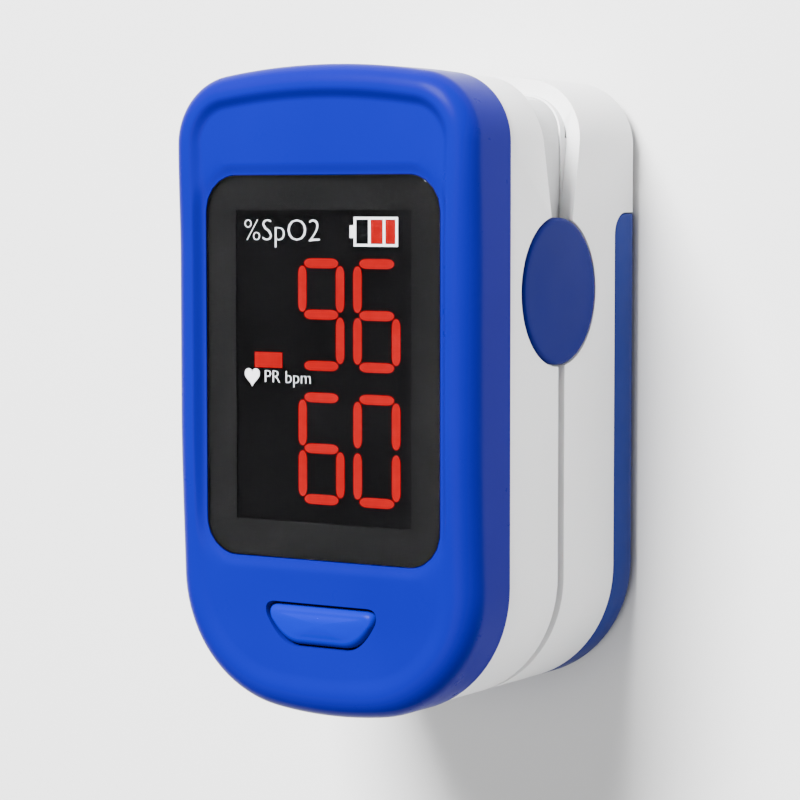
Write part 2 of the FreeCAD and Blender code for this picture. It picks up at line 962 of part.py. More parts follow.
def upper_screws():
    screws = []
    length = board_top - upper_bed_underside + upper_screw_grip
    for x, y in upper_screw_places:
        screws.append(
            screw(screw_radius, screw_head_radius, screw_head_height, x, y, upper_bed_underside, length)
        )
    return Part.makeCompound(screws)


# ---------------------------------------------------------------- hinge hardware
def hinge_pin():
    """Steel pin from the cap, through the lug, to the battery half's ear."""
    return rod_x(
        pin_radius, ear_inner_x + fine_clearance, lug_outer_x + pin_in_cap, hinge_y, hinge_height
    )


def hinge_cap():
    """Round blue cap over the hinge, with a blind hole for the pin."""
    disc = rod_x(cap_radius, lug_outer_x, cap_outer_x, hinge_y, hinge_height)
    rim = [
        edge
        for edge in disc.Edges
        if edge.BoundBox.XLength < 1e-6 and abs(edge.BoundBox.XMin - cap_outer_x) < 1e-4
    ]
    disc = disc.makeFillet(cap_edge_radius, rim)
    hole_end = lug_outer_x + pin_in_cap + fine_clearance
    return disc.cut(rod_x(pin_radius + screw_bite, lug_outer_x - 1, hole_end, hinge_y, hinge_height))


def clip_spring():
    """Envelope of the coil that pulls the hinge pin towards the battery half."""
    top = hinge_height - pin_radius - fine_clearance
    low = anchor_height + anchor_radius + fine_clearance
    coil = rod_z(spring_outer_radius, low, top, spring_x, hinge_y)
    return coil.cut(rod_z(spring_inner_radius, low - 1, top + 1, spring_x, hinge_y))


def spring_anchor():
    """Steel dowel across the side channel that holds the coil's lower end."""
    start = bay_half_width + fine_clearance
    return rod_x(anchor_radius, start, inner_half_width + anchor_bite, hinge_y, anchor_height)


# ---------------------------------------------------------------- battery half
def cover_room():
    """Space for the battery cover: its floor and its side lips."""
    grow = cover_clearance
    envelope = cover_envelope(grow)
    lips = envelope.cut(slab(inner_inset + grow, -2 * beyond, case_height))
    floor = box(
        -half_width - beyond,
        half_width + beyond,
        -half_length - beyond,
        cover_front_y + grow,
        -beyond,
        cover_floor + grow,
    )
    return lips.fuse(floor)


def battery_bay():
    """Side walls, end walls and the deck around the two cells."""
    side = box(bay_half_width, bay_outer, -half_length, bay_front_y + bay_wall, 0, deck_underside + embed)
    front = box(-bay_outer, bay_outer, bay_front_y, bay_front_y + bay_wall, 0, deck_underside + embed)
    rear_y = battery_rear_y - contact_spring_room - contact_thickness
    rear = box(-bay_outer, bay_outer, rear_y - bay_wall, rear_y, 0, deck_underside + embed)
    rail_z = rail_top_z - 2 * rail_height - cover_clearance
    rail = box(
        bay_outer - embed,
        inner_half_width - rail_wall_gap,
        rail_start_y,
        rail_end_y,
        rail_z,
        rail_z + rail_height,
    )
    deck = across(
        [
            (-half_length, deck_underside),
            (ramp_y, deck_underside),
            (half_length, ramp_end_z - lip_thickness),
            (half_length, ramp_end_z),
            (ramp_y + 0.4, deck_top),
            (-half_length, deck_top),
        ],
        half_width,
    )
    sill = ring(
        inner_inset - embed, inner_inset + sill_wall, deck_underside - sill_depth, deck_underside + embed
    )
    ahead_of_hinge = box(
        -half_width, half_width, hinge_y + lug_radius + 2 * moving_clearance, ramp_y, 0, case_height
    )
    sill = sill.common(ahead_of_hinge)
    return both_sides(side).fuse(front).fuse(rear).fuse(both_sides(rail)).fuse(sill).fuse(deck)


def lower_housing():
    """White wall and back of the battery half, with the bay for two cells."""
    block = slab(white_step, 0, case_height / 2)
    block = block.makeFillet(back_radius, edges_at(block, 0))
    hollow = slab(inner_inset, cover_floor, case_height)
    shell = block.cut(hollow)
    mouth = lower_mouth()
    bay = battery_bay()
    behind_wall = bay.common(slab(inner_inset - 0.4, 0.3, case_height)).cut(mouth)
    above_lip = bay.common(slab(inner_inset, 0.3, case_height)).common(mouth)
    shell = shell.cut(mouth).fuse(behind_wall).fuse(above_lip)
    shell = shell.cut(cover_room())
    seat = rod_x(
        cap_radius + slip_clearance, lug_outer_x - fine_clearance, half_width + beyond, hinge_y, hinge_height
    )
    lug_room = rod_x(
        lug_radius + moving_clearance, lug_inner_x - 0.2, half_width + beyond, hinge_y, hinge_height
    )
    drift = (hinge_y - fulcrum_y) * (1 - math.cos(math.radians(open_angle))) + moving_clearance
    lift_room = box(
        lug_inner_x - 0.2,
        half_width + beyond,
        hinge_y - lug_radius - drift,
        hinge_y + lug_radius + moving_clearance,
        hinge_height - 1,
        case_height,
    )
    coil_room = box(
        ear_outer_x,
        inner_half_width,
        hinge_y - lug_radius - moving_clearance,
        hinge_y + lug_radius + moving_clearance,
        anchor_height + 3.5,
        case_height,
    )
    shell = shell.cut(both_sides(seat)).cut(both_sides(lug_room))
    shell = shell.cut(both_sides(lift_room)).cut(both_sides(coil_room))
    anchor_hole = rod_x(
        anchor_radius + screw_bite,
        bay_half_width - 0.1,
        inner_half_width + anchor_bite + 0.05,
        hinge_y,
        anchor_height,
    )
    shell = shell.cut(both_sides(anchor_hole))
    for x, y in lower_screw_places:
        shell = shell.cut(rod_z(lower_screw_radius + slip_clearance, deck_underside - 1, case_height, x, y))
    return shell


def ear():
    """Upright with an open slot that guides the hinge pin as the clip opens."""
    block = box(
        ear_inner_x,
        ear_outer_x,
        hinge_y - ear_half_length,
        hinge_y + ear_half_length,
        bed_top - embed,
        ear_top,
    )
    drift = (hinge_y - fulcrum_y) * (1 - math.cos(math.radians(open_angle))) + pin_fit
    slot = box(
        ear_inner_x - 1,
        ear_outer_x + 1,
        hinge_y - pin_radius - pin_fit - drift,
        hinge_y + pin_radius + pin_fit,
        hinge_height - pin_radius - pin_fit,
        ear_top + 1,
    )
    return block.cut(slot)


def fulcrum_cradle():
    """Grooved block that carries the display half's fulcrum tab."""
    half = fulcrum_width / 2 + moving_clearance
    reach = fulcrum_radius + cradle_wall
    block = box(
        fulcrum_x - half,
        fulcrum_x + half,
        fulcrum_y - reach,
        fulcrum_y + reach,
        bed_top - embed,
        fulcrum_height,
    )
    groove = rod_x(fulcrum_radius + pin_fit, 0, half_width, fulcrum_y, fulcrum_height)
    return block.cut(groove)


def lower_bed():
    """Tray under the finger: floor, ramp at the mouth, light skirt, pin ears and fulcrum cradles."""
    end_y = half_length - inner_inset - slip_clearance
    drop = (deck_top - ramp_end_z) / (half_length - ramp_y - 0.4)
    foot = bed_underside - drop * (end_y - ramp_y - 0.4)
    floor = across(
        [
            (-half_length, bed_underside),
            (ramp_y + 0.4, bed_underside),
            (end_y, foot),
            (end_y, foot + bed_thickness),
            (ramp_y + 0.8, bed_top),
            (-half_length, bed_top),
        ],
        half_width,
    )
    floor = floor.common(slab(skirt_outer_inset, 0, case_height))
    skirt = ring(skirt_outer_inset, skirt_inner_inset, bed_underside - 3.0, skirt_top_front)
    under_floor = across(
        [
            (-half_length, bed_underside),
            (ramp_y + 0.4, bed_underside),
            (half_length, bed_underside - drop * (half_length - ramp_y - 0.4)),
            (half_length, -beyond),
            (-half_length, -beyond),
        ],
        half_width,
    )
    low_zone = box(
        -half_width, half_width, -half_length, hinge_y + lug_radius, skirt_top_rear, case_height
    )
    hinge_room = box(
        -half_width,
        half_width,
        hinge_y - lug_radius - 2 * moving_clearance,
        hinge_y + lug_radius + moving_clearance,
        bed_top,
        case_height,
    )
    notch = box(
        -half_width,
        half_width,
        hinge_y,
        hinge_y + cap_radius + 1.2,
        hinge_height - 0.7,
        case_height,
    )
    mouth = box(-mouth_width / 2, mouth_width / 2, 0, half_length, bed_top - 3.0, case_height)
    skirt = skirt.cut(under_floor).cut(low_zone).cut(hinge_room).cut(notch).cut(mouth)
    bed = floor.fuse(skirt).fuse(both_sides(ear())).fuse(both_sides(fulcrum_cradle()))
    for x, y in lower_screw_places:
        boss = rod_z(
            lower_screw_radius + lower_screw_boss_wall,
            bed_top - embed,
            bed_top + lower_screw_boss_height,
            x,
            y,
        )
        bed = bed.fuse(boss)
    for x, y in lower_screw_places:
        blind_end = bed_top + 0.8 * lower_screw_boss_height
        bed = bed.cut(rod_z(lower_screw_radius + screw_bite, 0, blind_end, x, y))
    side_channel = box(
        ear_outer_x,
        half_width,
        hinge_y - lug_radius - 2 * moving_clearance,
        hinge_y + lug_radius + moving_clearance,
        0,
        case_height,
    )
    bed = bed.cut(both_sides(side_channel))
    bed = bed.cut(optic_opening(0, case_height, 0))
    flex_groove = box(
        flex_x - flex_width / 2 - flex_clearance,
        flex_x + flex_width / 2 + flex_clearance,
        fulcrum_y - 0.5,
        sensor_y,
        0,
        bed_underside + flex_thickness + 0.1,
    )
    flex_slot = box(
        flex_x - flex_width / 2 - flex_clearance,
        flex_x + flex_width / 2 + flex_clearance,
        fulcrum_y - 0.5,
        fulcrum_y + 0.5,
        0,
        case_height,
    )
    return bed.cut(flex_groove).cut(flex_slot)


def lower_pad():
    """Soft silicone pad under the finger."""
    top = bed_top + pad_rim_thickness
    rear = pad_rear_y
    pad = rounded_block(
        2 * pad_half_width, ramp_y - rear, pad_corner, bed_top, top, 0, (ramp_y + rear) / 2
    )
    pad = pad.cut(finger_trough(channel_floor, 1))
    flare = across(
        [
            (ramp_y - 5.0, top + 1),
            (ramp_y - 5.0, top),
            (ramp_y + 1.0, bed_top + 0.4),
            (ramp_y + 1.0, top + 1),
        ],
        half_width,
    )
    return pad.cut(flare).cut(optic_opening(0, case_height, 0))


def sensor_window():
    """Clear plate over the light sensor, level with the pad."""
    return optic_plate(channel_floor - window_thickness, channel_floor - fine_clearance)


def sensor_board():
    """Small board with the light sensor, in the bed's opening."""
    return optic_plate(bed_underside, bed_underside + optic_board_thickness)


def light_sensor():
    low = bed_underside + optic_board_thickness
    top = channel_floor - window_thickness - fine_clearance
    half = light_sensor_size / 2
    return box(-half, half, sensor_y - half, sensor_y + half, low, top)


def lower_screws():
    screws = []
    for x, y in lower_screw_places:
        screws.append(
            screw(
                lower_screw_radius,
                lower_screw_head_radius,
                lower_screw_head_height,
                x,
                y,
                deck_underside,
                lower_screw_length,
            )
        )
    return Part.makeCompound(screws)


def flex_strip(y0, y1, z0, z1):
    return box(flex_x - flex_width / 2, flex_x + flex_width / 2, y0, y1, z0, z1)


def lower_flex():
    """Flat cable from the sensor board back to the fulcrum."""
    low = bed_underside
    back = fulcrum_y - flex_thickness / 2
    run = flex_strip(back, sensor_y - optic_length / 2 + optic_gap / 2, low, low + flex_thickness)
    rise = flex_strip(back, back + flex_thickness, low, fulcrum_height)
    return run.fuse(rise)


def upper_flex():
    """Flat cable from the fulcrum up to its socket on the main board."""
    back = fulcrum_y - flex_thickness / 2
    socket_z = board_underside - 0.8
    rise = flex_strip(back, back + flex_thickness, fulcrum_height + fine_clearance, socket_z)
    run = flex_strip(back, fulcrum_y + 1.8, socket_z - flex_thickness + 0.1, socket_z + 0.1)
    return rise.fuse(run)


# ---------------------------------------------------------------- batteries, contacts and cover
def battery(x, sign):
    """Cell with its raised terminal towards sign in y."""
    body_rear = battery_rear_y + (0 if sign > 0 else battery_nub_length)
    body_front = body_rear + battery_length - battery_nub_length
    body = rod_y(battery_radius, body_rear, body_front, x, battery_z)
    rims = [edge for edge in body.Edges if edge.BoundBox.YLength < 1e-6]
    body = body.makeFillet(battery_edge_radius, rims)
    nub_start = body_front if sign > 0 else battery_rear_y
    nub = rod_y(battery_nub_radius, nub_start, nub_start + battery_nub_length, x, battery_z)
    return body.fuse(nub)


def battery_left():
    return battery(-battery_x, 1)


def battery_right():
    return battery(battery_x, -1)


def contact_plate(x0, x1, y0):
    low = battery_z - contact_half_size
    return box(x0, x1, y0, y0 + contact_thickness, low, low + 2 * contact_half_size)


def rear_contact_y():
    return battery_rear_y - contact_spring_room - contact_thickness


def positive_contact():
    """Flat terminal that meets the right cell's nub, with a pressed dome."""
    y = rear_contact_y()
    plate = contact_plate(battery_x - contact_half_size, battery_x + contact_half_size, y)
    dome = Part.makeCone(
        contact_dome_radius,
        contact_dome_tip,
        contact_spring_room,
        vector(battery_x, y + embed, battery_z),
        vector(0, 1, 0),
    )
    return plate.fuse(dome).common(slab(inner_inset + 0.2, 0, case_height))


def contact_coil(x, y0, y1):
    """Envelope of a conical contact spring."""
    wide = contact_spring_radius
    narrow = wide - contact_spring_taper
    coil = Part.makeCone(wide, narrow, y1 - y0, vector(x, y0, battery_z), vector(0, 1, 0))
    wire = contact_spring_wire
    core = Part.makeCone(wide - wire, narrow - wire, y1 - y0, vector(x, y0, battery_z), vector(0, 1, 0))
    return coil.cut(core)


def negative_contact():
    """Plate and coil behind the left cell."""
    y = rear_contact_y()
    plate = contact_plate(-battery_x - contact_half_size, -battery_x + contact_half_size, y)
    coil = contact_coil(-battery_x, y + contact_thickness - 0.05, battery_rear_y - fine_clearance)
    return plate.fuse(coil).common(slab(inner_inset + 0.2, 0, case_height))


def bridge_contact():
    """Plate at the finger end that joins the two cells."""
    y = bay_front_y - contact_thickness - fine_clearance
    return contact_plate(-battery_x - contact_half_size, battery_x + contact_half_size, y)


def battery_cover():
    """Blue-grey back cover that slides off towards the rear end."""
    block = slab(white_step, 0, case_height / 2)
    block = block.makeFillet(back_radius, edges_at(block, 0))
    tray = block.common(cover_envelope(0))
    tray = tray.cut(slab(white_step + cover_wall, cover_floor, case_height))
    tongue_z = rail_top_z - rail_height
    tongue = box(
        inner_half_width - tongue_reach,
        half_width - white_step - cover_wall + embed,
        rail_start_y,
        rail_end_y,
        tongue_z,
        tongue_z + rail_height,
    )
    tray = tray.fuse(both_sides(tongue))
    for index in range(grip_count):
        y = cover_front_y - grip_front_margin - index * grip_pitch
        tray = tray.cut(box(-grip_length / 2, grip_length / 2, y - grip_width, y, -1, grip_depth))
    return tray


# ---------------------------------------------------------------- export
pieces = {
    "front_cover": front_cover(),
    "display_lens": display_lens(),
    "lens_mask": lens_mask(),
    "display_module": display_module(),
    "oxygen_digits": oxygen_digits(),
    "pulse_digits": pulse_digits(),
    "display_holder": display_holder(),
    "power_button": power_button(),
    "switch_plunger": switch_plunger(),
    "tact_switch": tact_switch(),
    "main_board": main_board(),
    "processor_chip": processor_chip(),
    "driver_chip": driver_chip(),
    "crystal": crystal(),
    "capacitors": capacitors(),
    "sounder": sounder(),
    "flex_connector": flex_connector(),
    "upper_housing": upper_housing(),
    "upper_bed": upper_bed(),
    "upper_pad": upper_pad(),
    "emitter_window": emitter_window(),
    "emitter_board": emitter_board(),
    "emitter": emitter(),
    "emitter_leads": emitter_leads(),
    "upper_screws": upper_screws(),
    "upper_flex": upper_flex(),
    "hinge_pin_right": hinge_pin(),
    "hinge_pin_left": mirrored(hinge_pin()),
    "hinge_cap_right": hinge_cap(),
    "hinge_cap_left": mirrored(hinge_cap()),
    "clip_spring_right": clip_spring(),
    "clip_spring_left": mirrored(clip_spring()),
    "spring_anchor_right": spring_anchor(),
    "spring_anchor_left": mirrored(spring_anchor()),
    "lower_housing": lower_housing(),
    "lower_bed": lower_bed(),
    "lower_pad": lower_pad(),
    "sensor_window": sensor_window(),
    "sensor_board": sensor_board(),
    "light_sensor": light_sensor(),
    "lower_screws": lower_screws(),
    "lower_flex": lower_flex(),
    "battery_left": battery_left(),
    "battery_right": battery_right(),
    "positive_contact": positive_contact(),
    "negative_contact": negative_contact(),
    "bridge_contact": bridge_contact(),
    "battery_cover": battery_cover(),
}

os.makedirs("parts", exist_ok=True)
for name, shape in pieces.items():
    if not shape.isValid():
        raise RuntimeError(name + " is not a valid shape")
    shape.exportStep("parts/" + name + ".step")
    bounds = shape.BoundBox
    print(
        "%-20s solids %2d  x %7.2f %7.2f  y %7.2f %7.2f  z %6.2f %6.2f"
        % (
            name,
            len(shape.Solids),
            bounds.XMin,
            bounds.XMax,
            bounds.YMin,
            bounds.YMax,
            bounds.ZMin,
            bounds.ZMax,
        )
    )
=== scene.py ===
import math

import bmesh
import bpy
from bpy.props import FloatProperty, FloatVectorProperty, IntProperty, PointerProperty
from mathutils import Matrix, Vector
from mathutils.kdtree import KDTree


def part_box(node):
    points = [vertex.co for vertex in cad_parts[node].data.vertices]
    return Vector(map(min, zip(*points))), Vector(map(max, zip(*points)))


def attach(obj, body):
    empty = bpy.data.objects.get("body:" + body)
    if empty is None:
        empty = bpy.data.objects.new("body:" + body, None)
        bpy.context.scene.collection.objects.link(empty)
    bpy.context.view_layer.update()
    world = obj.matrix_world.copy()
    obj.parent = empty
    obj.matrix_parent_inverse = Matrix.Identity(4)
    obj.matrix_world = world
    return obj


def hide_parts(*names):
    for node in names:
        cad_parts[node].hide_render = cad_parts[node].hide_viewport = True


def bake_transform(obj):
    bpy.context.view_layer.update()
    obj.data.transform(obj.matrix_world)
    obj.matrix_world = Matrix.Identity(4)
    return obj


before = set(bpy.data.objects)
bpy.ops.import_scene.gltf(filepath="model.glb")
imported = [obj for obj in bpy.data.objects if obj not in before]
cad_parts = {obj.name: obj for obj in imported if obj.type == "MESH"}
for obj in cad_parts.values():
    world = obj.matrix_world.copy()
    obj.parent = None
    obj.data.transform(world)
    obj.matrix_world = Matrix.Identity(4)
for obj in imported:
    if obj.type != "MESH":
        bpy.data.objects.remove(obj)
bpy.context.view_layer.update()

bl_info = {
    "name": "Fingertip Pulse Oximeter",
    "version": (1, 0, 0),
    "blender": (4, 5, 0),
    "location": "View3D > Sidebar > Oximeter",
    "description": "Builds the shells, display, pads, springs and finishes of a fingertip pulse oximeter",
    "category": "Object",
}

MM = 0.001
COVER_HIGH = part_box("front_cover")[1]
LENS_LOW, LENS_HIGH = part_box("display_lens")
MODULE_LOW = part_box("display_module")[0]
UPPER_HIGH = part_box("upper_housing")[1]
HALF_WIDTH = COVER_HIGH.x
HALF_LENGTH = UPPER_HIGH.y + HALF_WIDTH - UPPER_HIGH.x
LENS_CENTRE = (LENS_LOW + LENS_HIGH) / 2
LENS_HALF_LENGTH = (LENS_HIGH.y - LENS_LOW.y) / 2
UPPER_BODY = "display_half"
LOWER_BODY = "battery_half"


# ---------------------------------------------------------------- sizes and colours
def length(name, description, default):
    return FloatProperty(
        name=name, description=description, default=default, subtype="DISTANCE", unit="LENGTH"
    )


def colour(name, description, default):
    return FloatVectorProperty(
        name=name, description=description, default=default, size=3, min=0.0, max=1.0, subtype="COLOR"
    )


class OximeterSizes(bpy.types.PropertyGroup):
    finger_end_radius: length("Finger end radius", "Arch of the finger end in plan", 70 * MM)
    finger_corner_radius: length("Finger corner radius", "Corners beside the finger end", 6.25 * MM)
    rear_end_radius: length("Rear end radius", "Arch of the rear end in plan", 40 * MM)
    rear_corner_radius: length("Rear corner radius", "Corners beside the rear end", 12 * MM)
    rim_radius: length("Rim radius", "Rounding of the front cover's edge", 2.3 * MM)
    dish_depth: length("Dish depth", "How far the front face lies below its rim", 0.56 * MM)
    cover_wall: length("Cover wall", "Thickness of the front cover's side", 1.6 * MM)
    lens_corner: length("Lens corner", "Corner radius of the lens", 3.2 * MM)
    edge_bevel: length("Edge bevel", "Rounding of the moulded shells' edges", 0.22 * MM)
    spring_wire: length("Spring wire", "Wire diameter of the clip springs", 0.36 * MM)
    spring_turns: IntProperty(name="Spring turns", description="Turns of each clip spring", default=12, min=3)


class OximeterColours(bpy.types.PropertyGroup):
    front_blue: colour("Front blue", "Satin front cover", (0.003, 0.003, 0.168))
    button_blue: colour("Button blue", "Power button", (0.001, 0.004, 0.26))
    cap_blue: colour("Cap blue", "Hinge caps", (0.004, 0.007, 0.115))
    cover_blue: colour("Battery cover blue", "Battery cover", (0.010, 0.020, 0.15))
    shell_white: colour("Shell white", "White housings", (0.72, 0.72, 0.725))
    # Painted shade: the inner beds are white plastic, given this darker grey to stand for the shade in the
    # gap between the two halves.
    bed_shade_grey: colour("Bed grey", "Inner beds", (0.52, 0.525, 0.53))
    pad_grey: colour("Pad grey", "Silicone finger pads", (0.34, 0.35, 0.36))
    lit_red: colour("Lit red", "Lit display bars", (1.0, 0.0, 0.004))
    lit_white: colour("Lit white", "Lit display symbols", (0.92, 0.93, 0.95))


def sizes():
    return bpy.context.scene.oximeter_sizes


def colours():
    return bpy.context.scene.oximeter_colours


# ---------------------------------------------------------------- mesh helpers
def mesh_object(name, points, faces):
    mesh = bpy.data.meshes.new(name)
    mesh.from_pydata([tuple(p) for p in points], [], faces)
    mesh.validate()
    item = bpy.data.objects.new(name, mesh)
    bpy.context.scene.collection.objects.link(item)
    return item


def edit(item, change):
    """Runs change on the piece's mesh as a bmesh."""
    work = bmesh.new()
    work.from_mesh(item.data)
    change(work)
    work.to_mesh(item.data)
    work.free()


def outward(item):
    """Merges doubles and turns every face outwards."""

    def change(work):
        bmesh.ops.remove_doubles(work, verts=work.verts, dist=0.002 * MM)
        bmesh.ops.recalc_face_normals(work, faces=work.faces)

    edit(item, change)
    return item


def loft(name, rings, closed_tube=False):
    """Skin over rings of equal length; the ends get a face each unless the tube closes on itself."""
    count = len(rings[0])
    points = [point for ring in rings for point in ring]
    faces = []
    last = len(rings) if closed_tube else len(rings) - 1
    for row in range(last):
        below = row * count
        above = (row + 1) % len(rings) * count
        for i in range(count):
            j = (i + 1) % count
            faces.append((below + i, below + j, above + j, above + i))
    if not closed_tube:
        faces.append(tuple(reversed(range(count))))
        faces.append(tuple(range((len(rings) - 1) * count, len(rings) * count)))
    return outward(mesh_object(name, points, faces))


def level_ring(points, height):
    """Plan points, all at one height."""
    return [Vector((x, y, height)) for x, y in points]


UPRIGHT = ((0, 0, 1), (1, 0, 0), (0, 1, 0))


def lathe(name, profile, start, axes, steps, closed_tube=False):
    """Skin turned around the first of three axes; the profile lists radius and reach."""
    along, side, other = (Vector(axis) for axis in axes)
    turns = [2 * math.pi * i / steps for i in range(steps)]
    rings = []
    for radius, reach in profile:
        middle = Vector(start) + reach * along
        rings.append([middle + radius * (math.cos(a) * side + math.sin(a) * other) for a in turns])
    return loft(name, rings, closed_tube)


def baked(item):
    """Applies the piece's modifiers by taking its evaluated mesh."""
    graph = bpy.context.evaluated_depsgraph_get()
    mesh = bpy.data.meshes.new_from_object(item.evaluated_get(graph))
    item.modifiers.clear()
    old = item.data
    item.data = mesh
    if old.users == 0:
        bpy.data.meshes.remove(old)
    return item


def boolean(item, tool, operation):
    """Joins or cuts two closed pieces and removes the tool."""
    modifier = item.modifiers.new("boolean", "BOOLEAN")
    modifier.operation = operation
    modifier.solver = "EXACT"
    modifier.object = tool
    baked(item)
    bpy.data.objects.remove(tool)
    if not item.data.polygons:
        raise RuntimeError(item.name + " was lost in a boolean")
    return item


def joined(name, items):
    """One piece from several."""
    work = bmesh.new()
    for item in items:
        work.from_mesh(item.data)
    mesh = bpy.data.meshes.new(name)
    work.to_mesh(mesh)
    work.free()
    for item in items:
        bpy.data.objects.remove(item)
    whole = bpy.data.objects.new(name, mesh)
    bpy.context.scene.collection.objects.link(whole)
    return whole


def smooth(item, angle):
    """Smooth shading with sharp edges kept."""
    mesh = item.data
    mesh.shade_smooth()
    mesh.set_sharp_from_angle(angle=math.radians(angle))
    return item


def settle(item, body, material, nodes, angle):
    """Finish, material, body and what the piece stands for."""
    smooth(item, angle)
    item.data.materials.clear()
    item.data.materials.append(material)
    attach(item, body)
    if nodes:
        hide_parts(*nodes)
    return item


def refined(node, width, segments=3):
    """A copy of a CAD node with its edges rounded."""
    item = bpy.data.objects.new(node + "_shell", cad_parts[node].data.copy())
    bpy.context.scene.collection.objects.link(item)

    def change(work):
        bmesh.ops.remove_doubles(work, verts=work.verts, dist=0.001 * MM)
        for edge in work.edges:
            edge.smooth = True
        bmesh.ops.dissolve_limit(
            work, angle_limit=math.radians(0.5), verts=work.verts, edges=work.edges, delimit={"NORMAL"}
        )

    edit(item, change)
    bevel = item.modifiers.new("bevel", "BEVEL")
    bevel.width = width
    bevel.segments = segments
    bevel.limit_method = "ANGLE"
    bevel.angle_limit = math.radians(40)
    bevel.use_clamp_overlap = True
    bevel.miter_outer = "MITER_ARC"
    return baked(item)


# ---------------------------------------------------------------- case outline
LINE_STEPS, CORNER_STEPS, END_STEPS = 34, 20, 40


def arc_stations(x, y, radius, start, end, steps):
    """Points and outward directions along an arc, without its last point."""
    found = []
    for i in range(steps):
        angle = start + (end - start) * i / steps
        way = Vector((math.cos(angle), math.sin(angle)))
        found.append((Vector((x, y)) + radius * way, way))
    return found


def case_end(end_radius, corner_radius):
    """Corner centre and corner angle of one end, measured from the case's middle."""
    corner_x = HALF_WIDTH - corner_radius
    rise = math.sqrt((end_radius - corner_radius) ** 2 - corner_x**2)
    return corner_x, HALF_LENGTH - end_radius + rise, math.atan2(rise, corner_x)


def case_outline():
    """Stations around the case outline: points with their outward directions."""
    s = sizes()
    front_x, front_y, front_turn = case_end(s.finger_end_radius, s.finger_corner_radius)
    rear_x, rear_y, rear_turn = case_end(s.rear_end_radius, s.rear_corner_radius)
    pi = math.pi
    stations = []
    for i in range(LINE_STEPS):
        y = -rear_y + (front_y + rear_y) * i / LINE_STEPS
        stations.append((Vector((HALF_WIDTH, y)), Vector((1, 0))))
    stations += arc_stations(front_x, front_y, s.finger_corner_radius, 0, front_turn, CORNER_STEPS)
    stations += arc_stations(
        0, HALF_LENGTH - s.finger_end_radius, s.finger_end_radius, front_turn, pi - front_turn, END_STEPS
    )
    stations += arc_stations(-front_x, front_y, s.finger_corner_radius, pi - front_turn, pi, CORNER_STEPS)
    for i in range(LINE_STEPS):
        y = front_y - (front_y + rear_y) * i / LINE_STEPS
        stations.append((Vector((-HALF_WIDTH, y)), Vector((-1, 0))))
    stations += arc_stations(-rear_x, -rear_y, s.rear_corner_radius, pi, pi + rear_turn, CORNER_STEPS)
    stations += arc_stations(
        0, s.rear_end_radius - HALF_LENGTH, s.rear_end_radius, pi + rear_turn, 2 * pi - rear_turn, END_STEPS
    )
    stations += arc_stations(rear_x, -rear_y, s.rear_corner_radius, 2 * pi - rear_turn, 2 * pi, CORNER_STEPS)
    return stations


def inset_ring(stations, inset, height):
    """Ring of the outline moved inwards; height is a number or a function of y."""
    places = [point - inset * way for point, way in stations]
    return [Vector((*place, height(place.y) if callable(height) else height)) for place in places]


def rounded_rectangle_distance(x, y, half_x, half_y, corner):
    """Signed distance from a rounded rectangle's edge, negative inside."""
    dx = abs(x) - half_x + corner
    dy = abs(y) - half_y + corner
    outside = math.hypot(max(dx, 0), max(dy, 0))
    return outside + min(max(dx, dy), 0) - corner


def lens_ring_point(direction, grow):
    """Point where a ray from the lens's middle leaves the lens outline, grown by grow."""
    half_x = LENS_HIGH.x + grow
    half_y = LENS_HALF_LENGTH + grow
    corner = sizes().lens_corner + grow
    low, high = 0.0, 2 * half_y
    for _ in range(40):
        middle = (low + high) / 2
        reached = direction * middle
        inside = rounded_rectangle_distance(reached.x, reached.y, half_x, half_y, corner) < 0
        low, high = (middle, high) if inside else (low, middle)
    return LENS_CENTRE.xy + direction * low


def distance_to_lens(point):
    """Distance from a point in plan to the lens outline."""
    x, y = point.xy - LENS_CENTRE.xy
    return rounded_rectangle_distance(x, y, LENS_HIGH.x, LENS_HALF_LENGTH, sizes().lens_corner)


def ease(value):
    """Smooth step from 0 to 1."""
    t = min(max(value, 0.0), 1.0)
    return t * t * (3 - 2 * t)


# ---------------------------------------------------------------- front cover
RIM_STEPS, RIM_BAND_STEPS, FACE_STEPS = 12, 20, 40
RIM_BAND = 4.6 * MM
REAR_CREST_SINK = 0.62 * MM
REAR_FACE_SINK = 0.20 * MM
FINGER_RIM_SHARE = 0.16
RIM_FOOT_GAP = 0.1 * MM
FACE_STEP = 1.4 * MM
FINGER_STEP_SHARE = 0.25 * MM
SEAT_SINK = 0.02 * MM
SEAT_BLEND = 1.2 * MM
COVER_DEPTH = 7.1 * MM
CEILING_DEPTH = 2.7 * MM
LENS_FIT = 0.06 * MM
LEDGE_REACH = 0.85 * MM
LEDGE_GAP = 0.2 * MM


def crest_height(y):
    """The rim stands proud at the finger end and sides, and sinks into the face at the rear end."""
    rear = ease((-2 * MM - y) / (20 * MM))
    return COVER_HIGH.z - REAR_CREST_SINK * rear


def face_height(y):
    """Level of the dished face away from the rim and the lens."""
    rear = ease((-14 * MM - y) / (8 * MM))
    return COVER_HIGH.z - sizes().dish_depth - REAR_FACE_SINK * rear


def rim_round(y):
    """The rim is rounded tighter at the finger end."""
    return sizes().rim_radius * (1 - FINGER_RIM_SHARE * ease((y - 12 * MM) / (10 * MM)))


def front_surface(place, inset):
    """The front face's point at a place in plan that lies inset from the outline."""
    crest = crest_height(place.y)
    face = face_height(place.y)
    step = FACE_STEP - FINGER_STEP_SHARE * ease((place.y - 15 * MM) / (8 * MM))
    height = crest + (face - crest) * ease((inset - rim_round(place.y) - RIM_FOOT_GAP) / step)
    seat = LENS_HIGH.z - SEAT_SINK
    height = seat + (height - seat) * ease(distance_to_lens(place) / SEAT_BLEND)
    return Vector((place.x, place.y, height))


